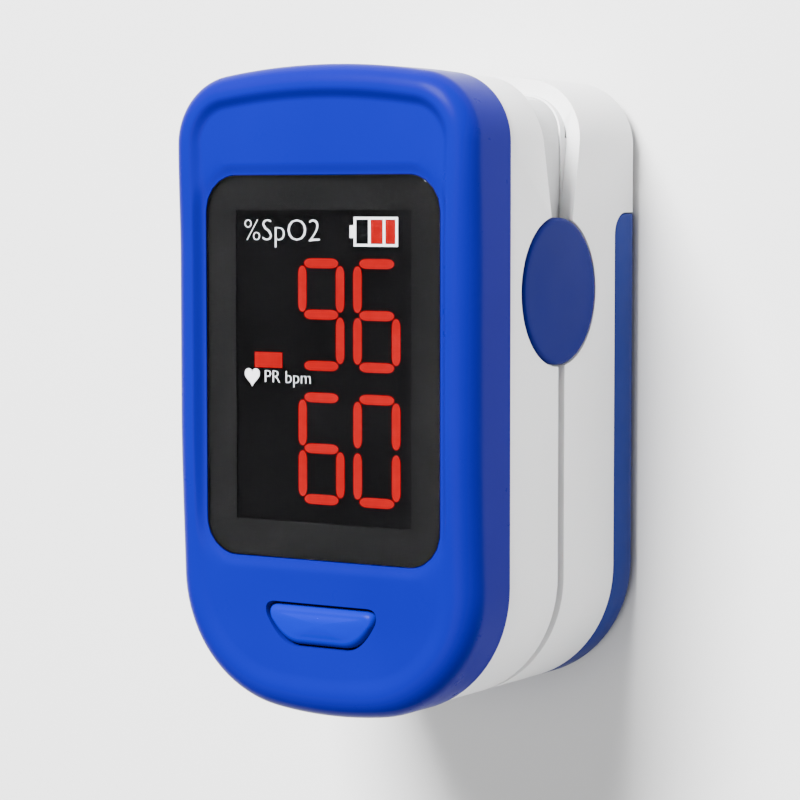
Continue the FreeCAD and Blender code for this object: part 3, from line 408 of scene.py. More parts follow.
def outline_tree(stations):
    """Search tree for the distance to the outline."""
    dense = []
    for (point, _), (following, _) in zip(stations, stations[1:] + stations[:1]):
        dense += [point.lerp(following, i / 6) for i in range(6)]
    tree = KDTree(len(dense))
    for index, point in enumerate(dense):
        tree.insert((point.x, point.y, 0), index)
    tree.balance()
    return tree


def front_cover_shell():
    """Closed shell of the front cover: side, rolled rim, dished face, lens seat, ledge and inside."""
    wall = sizes().cover_wall
    stations = case_outline()
    tree = outline_tree(stations)
    edge = COVER_HIGH.z - COVER_DEPTH
    chamfer = 0.12 * MM
    rings = [inset_ring(stations, chamfer, edge), inset_ring(stations, 0, edge + chamfer)]
    for t in (0.3, 0.6, 0.9):

        def side_height(y, t=t):
            return edge + chamfer + t * (crest_height(y) - rim_round(y) - edge)

        rings.append(inset_ring(stations, 0, side_height))
    for i in range(RIM_STEPS + 1):
        angle = math.pi / 2 * i / RIM_STEPS
        ring = []
        for point, way in stations:
            rim = rim_round(point.y)
            place = point - rim * (1 - math.cos(angle)) * way
            ring.append(Vector((*place, crest_height(place.y) - rim + rim * math.sin(angle))))
        rings.append(ring)
    for i in range(1, RIM_BAND_STEPS + 1):
        ring = []
        for point, way in stations:
            rim = rim_round(point.y)
            band = min(RIM_BAND, distance_to_lens(point) - 0.25 * MM)
            inset = rim + (band - rim) * i / RIM_BAND_STEPS
            ring.append(front_surface(point - inset * way, inset))
        rings.append(ring)
    start = [point.xy for point in rings[-1]]
    rays = [(point - LENS_CENTRE.xy).normalized() for point in start]
    seat_edge = [lens_ring_point(ray, LENS_FIT) for ray in rays]
    for i in range(1, FACE_STEPS + 1):
        t = 1 - (1 - i / FACE_STEPS) ** 1.5
        places = [outer.lerp(inner, t) for outer, inner in zip(start, seat_edge)]
        rings.append([front_surface(place, tree.find((*place, 0))[2]) for place in places])
    ledge = [lens_ring_point(ray, -LEDGE_REACH) for ray in rays]
    seat_z = LENS_LOW.z - LEDGE_GAP
    ceiling = COVER_HIGH.z - CEILING_DEPTH
    inner_round = 0.3 * MM
    rings.append(level_ring(seat_edge, LENS_HIGH.z - 0.1 * MM))
    rings.append(level_ring(seat_edge, seat_z))
    rings.append(level_ring(ledge, seat_z))
    rings.append(level_ring(ledge, ceiling))
    rings.append(inset_ring(stations, wall + inner_round, ceiling))
    rings.append(inset_ring(stations, wall, ceiling - inner_round))
    rings.append(inset_ring(stations, wall, edge))
    return loft("front_cover_shell", rings, closed_tube=True)


# Control points of the button's right half, as shares of its half width and of its length from the foot.
BUTTON_FOOT, BUTTON_TOP = 0.42, 0.82
BUTTON_SIDE = [(BUTTON_FOOT, 0), (0.66, 0), (0.84, 0.28), (0.98, 0.66)]
BUTTON_SHOULDER = [(0.98, 0.66), (1.03, 0.88), (0.98, 1), (BUTTON_TOP, 1)]
BUTTON_FLANGE = 1.0 * MM


def button_ring(grow, height):
    """Boat-shaped outline of the power button: straight top, round shoulders, narrower flat foot."""
    low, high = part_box("power_button")
    top = high.y - BUTTON_FLANGE + grow - 0.5 * MM
    foot = low.y + BUTTON_FLANGE - grow
    wide = high.x - BUTTON_FLANGE + grow - 0.1 * MM

    def curve(shares, steps):
        return bezier_points([Vector((x * wide, foot + y * (top - foot))) for x, y in shares], steps)

    right = curve(BUTTON_SIDE, 14) + curve(BUTTON_SHOULDER, 12)[1:]
    left = [Vector((-p.x, p.y)) for p in reversed(right)]
    top_row = [Vector((BUTTON_TOP * wide * (1 - i / 6), top)) for i in range(1, 12)]
    foot_row = [Vector((-BUTTON_FOOT * wide * (1 - i / 4), foot)) for i in range(1, 8)]
    return level_ring(right + top_row + left + foot_row, height)


def bezier_points(control, steps):
    """Points along a cubic curve."""
    a, b, c, d = control
    found = []
    for i in range(steps + 1):
        t = i / steps
        u = 1 - t
        found.append(u * u * u * a + 3 * u * u * t * b + 3 * u * t * t * c + t * t * t * d)
    return found


BOSS_RADIUS, BOSS_BORE = 1.6 * MM, 0.82 * MM
BOSS_REACH, BOSS_TOP = 2.4 * MM, 2.6 * MM


def boss(x, y):
    """Hollow screw boss under the front face."""
    low = MODULE_LOW.z - BOSS_REACH
    high = COVER_HIGH.z - BOSS_TOP
    profile = [(BOSS_BORE, high), (BOSS_BORE, low), (BOSS_RADIUS, low), (BOSS_RADIUS, high)]
    return lathe("boss", profile, (x, y, 0), UPRIGHT, 24, closed_tube=True)


class OXIMETER_OT_front_cover(bpy.types.Operator):
    """Satin blue front cover with a rolled rim, dished face, lens seat and button opening"""

    bl_idname = "oximeter.front_cover"
    bl_label = "Front cover"

    def execute(self, context):
        shell = front_cover_shell()
        button_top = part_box("power_button")[1].z
        gap = 0.2 * MM
        # Extra width of the opening, and its height over the button's top: it flares at the face.
        flare = [(0, -6.0), (0, -0.75), (0.05, -0.5), (0.18, -0.1), (0.42, 1.0)]
        rings = [button_ring(gap + extra * MM, button_top + rise * MM) for extra, rise in flare]
        opening = loft("opening", rings)
        boolean(shell, opening, "DIFFERENCE")
        low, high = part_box("upper_screws")
        screw_radius = 1.5 * MM
        x = high.x - screw_radius
        rows = (low.y + screw_radius, high.y - screw_radius)
        bosses = [boss(side * x, y) for side in (1, -1) for y in rows]
        whole = joined("front_cover_shell_whole", [shell] + bosses)
        settle(whole, UPPER_BODY, blue_plastic(), ["front_cover"], 32)
        return {"FINISHED"}


class OXIMETER_OT_power_button(bpy.types.Operator):
    """Boat-shaped power button with a crowned top, its flange and its stem"""

    bl_idname = "oximeter.power_button"
    bl_label = "Power button"

    def execute(self, context):
        low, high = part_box("power_button")
        centre = Vector(((low.x + high.x) / 2, (low.y + high.y) / 2))
        ceiling = COVER_HIGH.z - 2.75 * MM
        flange, edge, crown = 0.9 * MM, 0.7 * MM, 0.22 * MM
        shoulder = high.z - 0.95 * MM
        rings = [button_ring(flange, ceiling - 0.7 * MM), button_ring(flange, ceiling)]
        rings += [button_ring(0, ceiling), button_ring(0, shoulder)]
        for i in range(1, 9):
            angle = math.pi / 2 * i / 8
            inset, rise = edge * (1 - math.cos(angle)), edge * math.sin(angle)
            rings.append(button_ring(-inset, shoulder + rise))
        last = rings[-1]
        for i in range(1, 9):
            t = i / 9
            height = last[0].z + crown * (1 - (1 - t) ** 2)
            rings.append(level_ring([p.xy.lerp(centre, t) for p in last], height))
        cap = loft("cap", rings)
        stem_radius, stem_reach = 1.5 * MM, 2.2 * MM
        stem_profile = [(stem_radius, 0), (stem_radius, stem_reach)]
        stem = lathe("stem", stem_profile, (centre.x, centre.y, low.z), UPRIGHT, 32)
        whole = joined("power_button_cap", [cap, stem])
        settle(whole, "power_button", button_plastic(), ["power_button"], 40)
        return {"FINISHED"}


# ---------------------------------------------------------------- lens and display
class OXIMETER_OT_lens(bpy.types.Operator):
    """Clear lens with softened edges and black sides, flush in the front cover"""

    bl_idname = "oximeter.lens"
    bl_label = "Lens"

    def execute(self, context):
        steps = 180
        turns = [2 * math.pi * i / steps for i in range(steps)]
        rays = [Vector((math.cos(a), math.sin(a))) for a in turns]
        edge, flat_border = 0.05 * MM, 0.1 * MM
        shoulder = LENS_HIGH.z - edge

        def ring(grow, z):
            return level_ring([lens_ring_point(ray, grow) for ray in rays], z)

        rings = [ring(0, LENS_LOW.z + 0.03 * MM), ring(0, shoulder)]
        for i in range(1, 5):
            a = math.pi / 2 * i / 4
            rings.append(ring(-edge * (1 - math.cos(a)), shoulder + edge * math.sin(a)))
        rings.append(ring(-edge - flat_border, LENS_HIGH.z))
        lens = loft("lens_window", rings)
        settle(lens, UPPER_BODY, lens_material(), ["display_lens"], 30)
        lens.data.materials.append(mask_print())
        for face in lens.data.polygons:
            face.material_index = 0 if abs(face.normal.z) > 0.9 else 1
        return {"FINISHED"}


CONTENT_SHIFT = (-0.40 * MM, 0.20 * MM)
LIT = {"0": "abcdef", "6": "acdefg", "9": "abcdfg"}
DIGIT_WIDTH, DIGIT_PITCH, DIGIT_STROKE = 5.0 * MM, 5.9 * MM, 0.95 * MM
# Column, row and upright turn of each bar, in half widths and half heights of a digit.
BARS = {"a": (0, 1, 0), "g": (0, 0, 0), "d": (0, -1, 0)}
BARS |= {"f": (-1, 0.5, 1), "b": (1, 0.5, 1), "e": (-1, -0.5, 1), "c": (1, -0.5, 1)}


def segment_places(node, text):
    """Middle and direction of each lit bar of a two-digit number that fills a CAD node's box."""
    low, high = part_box(node)
    reach_x = (DIGIT_WIDTH - DIGIT_STROKE) / 2
    reach_y = (high.y - low.y - DIGIT_STROKE) / 2
    y = (low.y + high.y) / 2 + CONTENT_SHIFT[1]
    places = []
    for index, character in enumerate(text):
        x = high.x - DIGIT_WIDTH / 2 - (len(text) - 1 - index) * DIGIT_PITCH + CONTENT_SHIFT[0]
        for name in LIT[character]:
            column, row, upright = BARS[name]
            places.append((x + column * reach_x, y + row * reach_y, upright))
    return places


def bar_object(half_length, half_width, height):
    """One lit bar: a slim lozenge with rounded ends, flat on the display."""
    outline = []
    steps, taper = 10, 1.7 * half_width
    for sign in (1, -1):
        for i in range(steps + 1):
            a = math.pi / 2 - math.pi * i / steps
            x = sign * (half_length - taper + taper * math.cos(a))
            outline.append((x, sign * half_width * math.sin(a)))
    return loft("lit_bar", [level_ring(outline, 0), level_ring(outline, height)])


def node_tree(name, inputs, material):
    """Geometry Nodes tree with named inputs; what feeds its last socket is realized and painted."""
    tree = bpy.data.node_groups.new(name, "GeometryNodeTree")
    for label, kind in inputs:
        tree.interface.new_socket(label, in_out="INPUT", socket_type="NodeSocket" + kind)
    tree.interface.new_socket("Geometry", in_out="OUTPUT", socket_type="NodeSocketGeometry")
    entry = tree.nodes.new("NodeGroupInput")
    leave = tree.nodes.new("NodeGroupOutput")
    realize = tree.nodes.new("GeometryNodeRealizeInstances")
    paint = tree.nodes.new("GeometryNodeSetMaterial")
    paint.inputs["Material"].default_value = material
    tree.links.new(realize.outputs["Geometry"], paint.inputs["Geometry"])
    tree.links.new(paint.outputs["Geometry"], leave.inputs["Geometry"])
    return tree, entry.outputs, realize.inputs["Geometry"]


def instance_tree(name, material):
    """Puts one shape on every point of a mesh, turned by its attribute."""
    inputs = [("Geometry", "Geometry"), ("Shape", "Object"), ("Size", "Float")]
    tree, entry, last = node_tree(name, inputs, material)
    nodes, links = tree.nodes, tree.links
    shape = nodes.new("GeometryNodeObjectInfo")
    turn = nodes.new("GeometryNodeInputNamedAttribute")
    turn.data_type = "FLOAT_VECTOR"
    turn.inputs["Name"].default_value = "turn"
    place = nodes.new("GeometryNodeInstanceOnPoints")
    links.new(entry["Geometry"], place.inputs["Points"])
    links.new(entry["Shape"], shape.inputs["Object"])
    links.new(shape.outputs["Geometry"], place.inputs["Instance"])
    links.new(turn.outputs["Attribute"], place.inputs["Rotation"])
    links.new(entry["Size"], place.inputs["Scale"])
    links.new(place.outputs["Instances"], last)
    return tree


def run_tree(item, tree, values):
    """Runs a tree on the piece with these inputs, and leaves a plain mesh."""
    modifier = item.modifiers.new("shape", "NODES")
    modifier.node_group = tree
    for socket in tree.interface.items_tree:
        if socket.in_out == "INPUT" and socket.name in values:
            modifier[socket.identifier] = values[socket.name]
    baked(item)
    if not item.data.polygons:
        raise RuntimeError(item.name + " came out empty")
    return item


def instances(name, shape, points, turn, material):
    """One shape repeated at points, all turned alike."""
    item = mesh_object(name, points, [])
    attribute = item.data.attributes.new("turn", "FLOAT_VECTOR", "POINT")
    for value in attribute.data:
        value.vector = turn
    run_tree(item, instance_tree(name + "_tree", material), {"Shape": shape, "Size": 1.0})
    bpy.data.objects.remove(shape)
    return item


class OXIMETER_OT_digits(bpy.types.Operator):
    """Lit seven-segment bars of the oxygen and pulse readings"""

    bl_idname = "oximeter.digits"
    bl_label = "Lit digits"

    def execute(self, context):
        for node, text in (("oxygen_digits", "96"), ("pulse_digits", "60")):
            low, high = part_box(node)
            places = segment_places(node, text)
            half_width, level_half, end_gap = 0.44 * MM, 1.82 * MM, 0.22 * MM
            upright_half = (high.y - low.y - DIGIT_STROKE) / 4 - end_gap
            made = []
            for upright, kind, half in ((0, "level", level_half), (1, "upright", upright_half)):
                bar = bar_object(half, half_width, high.z - low.z)
                points = [Vector((x, y, low.z)) for x, y, turned in places if turned == upright]
                turn = (0, 0, upright * math.pi / 2)
                made.append(instances(node + "_" + kind, bar, points, turn, lit_red()))
            whole = joined(node + "_bars", made)
            settle(whole, UPPER_BODY, lit_red(), [node], 50)
        return {"FINISHED"}


def plate(points, z0, z1):
    """Flat plate from an outline."""
    return loft("plate", [level_ring(points, z0), level_ring(points, z1)])


def rectangle(x0, x1, y0, y1):
    return [(x0, y0), (x1, y0), (x1, y1), (x0, y1)]


def text_plate(text, x, y, height, z0, z1):
    """Lettering of a plain generic unit as a thin flat mesh, left-aligned at x, y."""
    curve = bpy.data.curves.new("unit", "FONT")
    curve.body = text
    curve.size = height / 0.7
    curve.resolution_u = 3
    curve.extrude = (z1 - z0) / 2
    curve.offset = -0.028 * curve.size
    item = bpy.data.objects.new("unit_curve", curve)
    bpy.context.scene.collection.objects.link(item)
    graph = bpy.context.evaluated_depsgraph_get()
    bpy.context.view_layer.update()
    mesh = bpy.data.meshes.new_from_object(item.evaluated_get(graph))
    bpy.data.objects.remove(item)
    mesh.transform(Matrix.Translation((x, y, (z0 + z1) / 2)))
    made = bpy.data.objects.new("unit", mesh)
    bpy.context.scene.collection.objects.link(made)
    return made


class OXIMETER_OT_symbols(bpy.types.Operator):
    """Battery symbol, pulse bar, heart and plain unit marks on the display"""

    bl_idname = "oximeter.symbols"
    bl_label = "Display symbols"

    def execute(self, context):
        low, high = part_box("oxygen_digits")
        z0, z1 = low.z, high.z
        left = -8.65 * MM
        top = high.y + 0.10 * MM
        foot = low.y + 0.20 * MM
        white = []
        x0, x1 = 3.25 * MM, 7.85 * MM
        y0, y1 = top + 1.15 * MM, top + 3.75 * MM
        line = 0.22 * MM
        third = (x1 - x0) / 3
        for a, b, c, d in (
            (x0, x1, y0, y0 + line),
            (x0, x1, y1 - line, y1),
            (x0, x0 + line, y0 + line, y1 - line),
            (x1 - line, x1, y0 + line, y1 - line),
            (x0 + third, x0 + third + line, y0 + line, y1 - line),
            (x0 + 2 * third, x0 + 2 * third + line, y0 + line, y1 - line),
            (x0 - 0.42 * MM, x0, y0 + 0.75 * MM, y1 - 0.75 * MM),
        ):
            white.append(plate(rectangle(a, b, c, d), z0, z1))
        heart = []
        steps = 48
        for i in range(steps):
            t = 2 * math.pi * i / steps
            hx = 16 * math.sin(t) ** 3
            hy = 13 * math.cos(t) - 5 * math.cos(2 * t) - 2 * math.cos(3 * t) - math.cos(4 * t)
            heart.append((left + 0.85 * MM + hx * 0.050 * MM, foot - 0.65 * MM + hy * 0.056 * MM))
        white.append(plate(heart, z0, z1))
        white.append(text_plate("%SpO2", left - 0.06 * MM, top + 1.60 * MM, 2.0 * MM, z0, z1))
        white.append(text_plate("PR bpm", left + 2.12 * MM, foot - 1.2 * MM, 1.16 * MM, z0, z1))
        symbols = joined("display_symbols", white)
        settle(symbols, UPPER_BODY, lit_white(), (), 40)
        red = []
        gap = 0.05 * MM
        for i in (1, 2):
            a = x0 + i * third + line + gap
            b = x0 + (i + 1) * third - gap - (line if i == 2 else 0)
            red.append(plate(rectangle(a, b, y0 + line + gap, y1 - line - gap), z0, z1))
        bar_y = foot + 0.15 * MM
        red.append(plate(rectangle(left + 1.15 * MM, left + 4.15 * MM, bar_y, bar_y + 1.4 * MM), z0, z1))
        marks = joined("display_level_bars", red)
        settle(marks, UPPER_BODY, lit_red(), (), 40)
        return {"FINISHED"}


# ---------------------------------------------------------------- shells, caps and pads
class OXIMETER_OT_shells(bpy.types.Operator):
    """White housings, inner beds and battery cover with softened edges"""

    bl_idname = "oximeter.shells"
    bl_label = "Shells"

    def execute(self, context):
        width = sizes().edge_bevel
        for node, body, material, slot in (
            ("upper_housing", UPPER_BODY, white_plastic(), "white_plastic"),
            ("lower_housing", LOWER_BODY, white_plastic(), "white_plastic"),
            # The beds' grey is painted shade for the recess between the halves.
            ("upper_bed", UPPER_BODY, shaded_bed_plastic(), "inner_plastic"),
            ("lower_bed", LOWER_BODY, shaded_bed_plastic(), "inner_plastic"),
            ("battery_cover", "battery_cover", cover_plastic(), "cover_blue"),
        ):
            settle(refined(node, width), body, material, [node], 30)
        return {"FINISHED"}


class OXIMETER_OT_hinge_caps(bpy.types.Operator):
    """Round hinge caps with a slightly crowned face"""

    bl_idname = "oximeter.hinge_caps"
    bl_label = "Hinge caps"

    def execute(self, context):
        for side, sign in (("right", 1), ("left", -1)):
            low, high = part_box("hinge_cap_" + side)
            centre = (low + high) / 2
            radius = (high.y - low.y) / 2
            inner = low.x if sign > 0 else high.x
            outer = high.x if sign > 0 else low.x
            depth = abs(outer - inner)
            chamfer, edge, crown = 0.1 * MM, 0.4 * MM, 0.12 * MM
            shoulder = depth - 0.5 * MM
            profile = [(radius - chamfer, 0), (radius, chamfer), (radius, shoulder)]
            for i in range(1, 7):
                a = math.pi / 2 * i / 6
                profile.append((radius - edge * (1 - math.cos(a)), shoulder + 0.38 * MM * math.sin(a)))
            for i in range(1, 12):
                t = i / 12
                profile.append(((radius - edge) * (1 - t), depth - crown + crown * ease(t * 1.4)))
            axes = ((sign, 0, 0), (0, 1, 0), (0, 0, 1))
            cap = lathe("hinge_cap_" + side + "_disc", profile, (inner, centre.y, centre.z), axes, 128)
            settle(cap, UPPER_BODY, cap_plastic(), ["hinge_cap_" + side], 35)
        return {"FINISHED"}


class OXIMETER_OT_pads(bpy.types.Operator):
    """Soft silicone finger pads with rounded lips around a shallow trough"""

    bl_idname = "oximeter.pads"
    bl_label = "Finger pads"

    def execute(self, context):
        for node, body in (("upper_pad", UPPER_BODY), ("lower_pad", LOWER_BODY)):
            pad = refined(node, 0.45 * MM, 4)
            settle(pad, body, silicone(), [node], 40)
        return {"FINISHED"}


# ---------------------------------------------------------------- springs
COIL_INPUTS = ["Turns", "Height", "Start Radius", "End Radius", "Wire Radius"]


def coil_tree(name, material):
    """Wire coil: a spiral swept by a round section."""
    tree, entry, last = node_tree(name, [(label, "Float") for label in COIL_INPUTS], material)
    nodes, links = tree.nodes, tree.links
    spiral = nodes.new("GeometryNodeCurveSpiral")
    spiral.inputs["Resolution"].default_value = 24
    section = nodes.new("GeometryNodeCurvePrimitiveCircle")
    section.inputs["Resolution"].default_value = 10
    sweep = nodes.new("GeometryNodeCurveToMesh")
    sweep.inputs["Fill Caps"].default_value = True
    links.new(entry["Turns"], spiral.inputs["Rotations"])
    for label in COIL_INPUTS[1:4]:
        links.new(entry[label], spiral.inputs[label])
    links.new(entry["Wire Radius"], section.inputs["Radius"])
    links.new(spiral.outputs["Curve"], sweep.inputs["Curve"])
    links.new(section.outputs["Curve"], sweep.inputs["Profile Curve"])
    links.new(sweep.outputs["Mesh"], last)
    return tree


def coil(name, turns, height, start_radius, end_radius, wire, material, place):
    """Plain mesh of a wire coil along +Z, moved by a matrix."""
    values = [float(value) for value in (turns, height, start_radius, end_radius, wire / 2)]
    tree = coil_tree(name + "_tree", material)
    item = run_tree(mesh_object(name, [], []), tree, dict(zip(COIL_INPUTS, values)))
    item.data.transform(place)
    return outward(item)


class OXIMETER_OT_clip_springs(bpy.types.Operator):
    """Coils that pull the hinge pins towards the battery half"""

    bl_idname = "oximeter.clip_springs"
    bl_label = "Clip springs"

    def execute(self, context):
        wire, turns = sizes().spring_wire, sizes().spring_turns
        for side in ("right", "left"):
            node = "clip_spring_" + side
            low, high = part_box(node)
            centre = (low + high) / 2
            radius = (high.x - low.x - wire) / 2
            height = high.z - low.z - wire
            place = Matrix.Translation((centre.x, centre.y, low.z + wire / 2))
            body = coil(node + "_coil", turns, height, radius, radius, wire, spring_steel(), place)
            smooth(body, 60)
            body.data.materials.clear()
            body.data.materials.append(spring_steel())
            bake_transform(body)
            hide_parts(node)
        return {"FINISHED"}


class OXIMETER_OT_contacts(bpy.types.Operator):
    """Conical contact spring on its plate, behind the left cell"""

    bl_idname = "oximeter.contacts"
    bl_label = "Battery contacts"

    def execute(self, context):
        low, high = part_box("negative_contact")
        battery_low, battery_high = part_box("battery_left")
        z = (battery_low.z + battery_high.z) / 2
        x = (battery_low.x + battery_high.x) / 2
        plate_thickness = 0.4 * MM
        base = plate(rectangle(low.x, high.x, low.y, low.y + plate_thickness), low.z, high.z)
        turn = Matrix.Translation((x, low.y + plate_thickness, z)) @ Matrix.Rotation(-math.pi / 2, 4, "X")
        turns, wire, wide, narrow = 3.5, 0.5 * MM, 2.15 * MM, 1.4 * MM
        height = high.y - low.y - plate_thickness - wire
        cone = coil("contact_coil", turns, height, wide, narrow, wire, nickel(), turn)
        whole = joined("negative_contact_spring", [base, cone])
        settle(whole, LOWER_BODY, nickel(), ["negative_contact"], 45)
        return {"FINISHED"}


# Share of the cell's radius, and millimetres from its flat end or back from its raised terminal.
CELL_BASE = [(0.62, 0.0), (0.86, 0.0), (0.94, 0.05), (0.985, 0.35), (1.0, 0.8)]
CELL_TOP = [(1.0, 2.1), (0.985, 1.7), (0.95, 1.15), (0.86, 0.85), (0.80, 1.0), (0.50, 1.0)]
CELL_TOP += [(0.38, 0.85), (0.36, 0.1), (0.31, 0.0)]


class OXIMETER_OT_batteries(bpy.types.Operator):
    """Two AAA cells with a wrap, a bare collar and a raised terminal"""

    bl_idname = "oximeter.batteries"
    bl_label = "Batteries"

    def execute(self, context):
        for node, sign in (("battery_left", 1), ("battery_right", -1)):
            low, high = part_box(node)
            centre = (low + high) / 2
            radius = (high.x - low.x) / 2
            start = low.y if sign > 0 else high.y
            end = high.y if sign > 0 else low.y
            reach = abs(end - start)
            profile = [(radius * r, along * MM) for r, along in CELL_BASE]
            profile += [(radius * r, reach - along * MM) for r, along in CELL_TOP]
            axes = ((0, sign, 0), (1, 0, 0), (0, 0, 1))
            cell = lathe(node + "_cell", profile, (centre.x, start, centre.z), axes, 64)
            settle(cell, LOWER_BODY, battery_wrap(), [node], 35)
        return {"FINISHED"}


# ---------------------------------------------------------------- materials
MADE = {}
FINE_GRAIN = 6000.0


class Recipe:
    """A node material under construction, on Object coordinates in metres."""

    def __init__(self, name):
        self.material = bpy.data.materials.new(name)
        self.material.use_nodes = True
        self.nodes = self.material.node_tree.nodes
        self.links = self.material.node_tree.links
        self.shader = self.nodes["Principled BSDF"]
        self.place = self.nodes.new("ShaderNodeTexCoord").outputs["Object"]

    def set(self, **values):
        self.fill(self.shader, values)

    def fill(self, node, values):
        for name, value in values.items():
            node.inputs[name.replace("_", " ")].default_value = value

    def node(self, kind, **values):
        """New node with constants on its named sockets."""
        node = self.nodes.new("ShaderNode" + kind)
        self.fill(node, values)
        return node

    def feed(self, socket, value):
        self.links.new(value, self.shader.inputs[socket])

    def stretched(self, scale):
        mapping = self.node("Mapping", Scale=scale)
        self.links.new(self.place, mapping.inputs["Vector"])
        return mapping.outputs["Vector"]

    def noise(self, scale, detail=3.0, rough=0.55, place=None):
        node = self.node("TexNoise", Scale=scale, Detail=detail, Roughness=rough)
        self.links.new(place or self.place, node.inputs["Vector"])
        return node.outputs["Fac"]

    def ramp(self, value, stops, interpolation="LINEAR"):
        node = self.node("ValToRGB")
        node.color_ramp.interpolation = interpolation
        elements = node.color_ramp.elements
        while len(elements) < len(stops):
            elements.new(0.5)
        for element, (position, tint) in zip(elements, stops):
            element.position = position
            element.color = (*tint, 1.0)
        self.links.new(value, node.inputs["Fac"])
        return node.outputs["Color"]

    def tint(self, value, first, second, span=(0.3, 0.7)):
        """Base colour that runs from one tint to another."""
        self.feed("Base Color", self.ramp(value, list(zip(span, (first, second)))))

    def gloss(self, value, low, high):
        """Roughness that runs from low to high over the middle half of a noise."""
        node = self.node("MapRange", From_Min=0.25, From_Max=0.75, To_Min=low, To_Max=high)
        self.links.new(value, node.inputs["Value"])
        self.feed("Roughness", node.outputs["Result"])

    def bump(self, value, depth):
        node = self.node("Bump", Distance=depth, Strength=1.0)
        self.links.new(value, node.inputs["Height"])
        self.feed("Normal", node.outputs["Normal"])


def made_once(name):
    """Turns a recipe function into one that makes its named material when first called and keeps it."""

    def wrap(make):
        def material():
            if name not in MADE:
                recipe = Recipe(name)
                make(recipe)
                MADE[name] = recipe.material
            return MADE[name]

        return material

    return wrap


def shade(tint, factor):
    return tuple(min(1.0, c * factor) for c in tint)


def moulded(recipe, tint, roughness, depth, drift=0.06, grain=FINE_GRAIN):
    """Moulded plastic: slight colour drift, uneven gloss and a fine grain."""
    recipe.tint(recipe.noise(55.0, 2.0), shade(tint, 1 - drift), shade(tint, 1 + drift))
    recipe.gloss(recipe.noise(420.0, 4.0, 0.6), *roughness)
    recipe.bump(recipe.noise(grain, 2.0, 0.5), depth)


@made_once("front_blue")
def blue_plastic(recipe):
    moulded(recipe, colours().front_blue, (0.26, 0.33), 0.0008 * MM)
    recipe.set(Specular_IOR_Level=0.02)


@made_once("button_blue")
def button_plastic(recipe):
    moulded(recipe, colours().button_blue, (0.28, 0.36), 0.0008 * MM)
    recipe.set(Specular_IOR_Level=0.03)


@made_once("cap_blue")
def cap_plastic(recipe):
    moulded(recipe, colours().cap_blue, (0.30, 0.38), 0.0008 * MM, 0.08)
    recipe.set(Specular_IOR_Level=0.02)


@made_once("cover_blue")
def cover_plastic(recipe):
    moulded(recipe, colours().cover_blue, (0.36, 0.46), 0.001 * MM, 0.07)
    recipe.set(Specular_IOR_Level=0.05)


@made_once("shell_white")
def white_plastic(recipe):
    moulded(recipe, colours().shell_white, (0.34, 0.42), 0.0008 * MM, 0.015)
    recipe.set(IOR=1.5, Subsurface_Weight=0.06, Subsurface_Scale=0.8 * MM)


# Painted shade: white bed plastic darkened to grey for the shaded gap between the halves; the display holder
# inside uses it too.
@made_once("bed_shade_grey")
def shaded_bed_plastic(recipe):
    moulded(recipe, colours().bed_shade_grey, (0.45, 0.55), 0.008 * MM, 0.03, 3200.0)
    recipe.set(IOR=1.48)


@made_once("pad_silicone")
def silicone(recipe):
    moulded(recipe, colours().pad_grey, (0.55, 0.68), 0.012 * MM, 0.05, 5200.0)
    recipe.set(IOR=1.42, Subsurface_Weight=0.12, Subsurface_Scale=0.6 * MM, Sheen_Weight=0.15)


@made_once("lens_clear")
def lens_material(recipe):
    recipe.gloss(recipe.noise(180.0, 3.0), 0.015, 0.05)
    recipe.tint(recipe.noise(70.0), (0.86, 0.87, 0.88), (0.95, 0.95, 0.96))
    recipe.bump(recipe.noise(160.0, 1.0), 0.002 * MM)
    recipe.set(Specular_Tint=(0.3, 0.3, 0.3, 1.0), IOR=1.25, Transmission_Weight=1.0)


@made_once("mask_print")
def mask_print(recipe):
    moulded(recipe, (0.0115, 0.0115, 0.0117), (0.45, 0.6), 0.001 * MM, 0.10)
    recipe.set(Specular_IOR_Level=0.05)


@made_once("display_glass")
def display_glass(recipe):
    recipe.tint(recipe.noise(90.0, 3.0), (0.004, 0.004, 0.0042), (0.0056, 0.0054, 0.0059), (0.25, 0.8))
    recipe.gloss(recipe.noise(900.0), 0.08, 0.16)
    recipe.set(Specular_IOR_Level=0.05)


def glowing(recipe, tint, strength):
    """Lit print: dark in itself, with a slightly uneven glow."""
    flicker = recipe.noise(1400.0, 2.0)
    glow = recipe.ramp(flicker, [(0.3, shade(tint, 0.90)), (0.7, tint)])
    recipe.tint(flicker, shade(tint, 0.02), shade(tint, 0.03))
    recipe.feed("Emission Color", glow)
    recipe.set(Emission_Strength=strength, Roughness=0.6, Specular_IOR_Level=0.05)


@made_once("lit_red")
def lit_red(recipe):
    glowing(recipe, colours().lit_red, 0.95)


@made_once("lit_white")
def lit_white(recipe):
    glowing(recipe, colours().lit_white, 4.5)


def metal(recipe, tint, roughness, stretch):
    """Bare metal; stretch is the scale of its brushed streaks along x, y and z."""
    recipe.tint(recipe.noise(300.0, 3.0), shade(tint, 0.88), tint)
    brushed = recipe.noise(1.0, 3.0, 0.6, recipe.stretched(stretch))
    recipe.gloss(brushed, *roughness)
    recipe.bump(brushed, 0.002 * MM)
    recipe.set(Metallic=1.0)


@made_once("spring_steel")
def spring_steel(recipe):
    metal(recipe, (0.56, 0.56, 0.57), (0.22, 0.38), (2500.0, 2500.0, 9000.0))


@made_once("part_steel")
def part_steel(recipe):
    metal(recipe, (0.60, 0.60, 0.61), (0.25, 0.42), (900.0, 6000.0, 6000.0))


@made_once("nickel")
def nickel(recipe):
    metal(recipe, (0.72, 0.69, 0.63), (0.18, 0.34), (5000.0, 5000.0, 800.0))


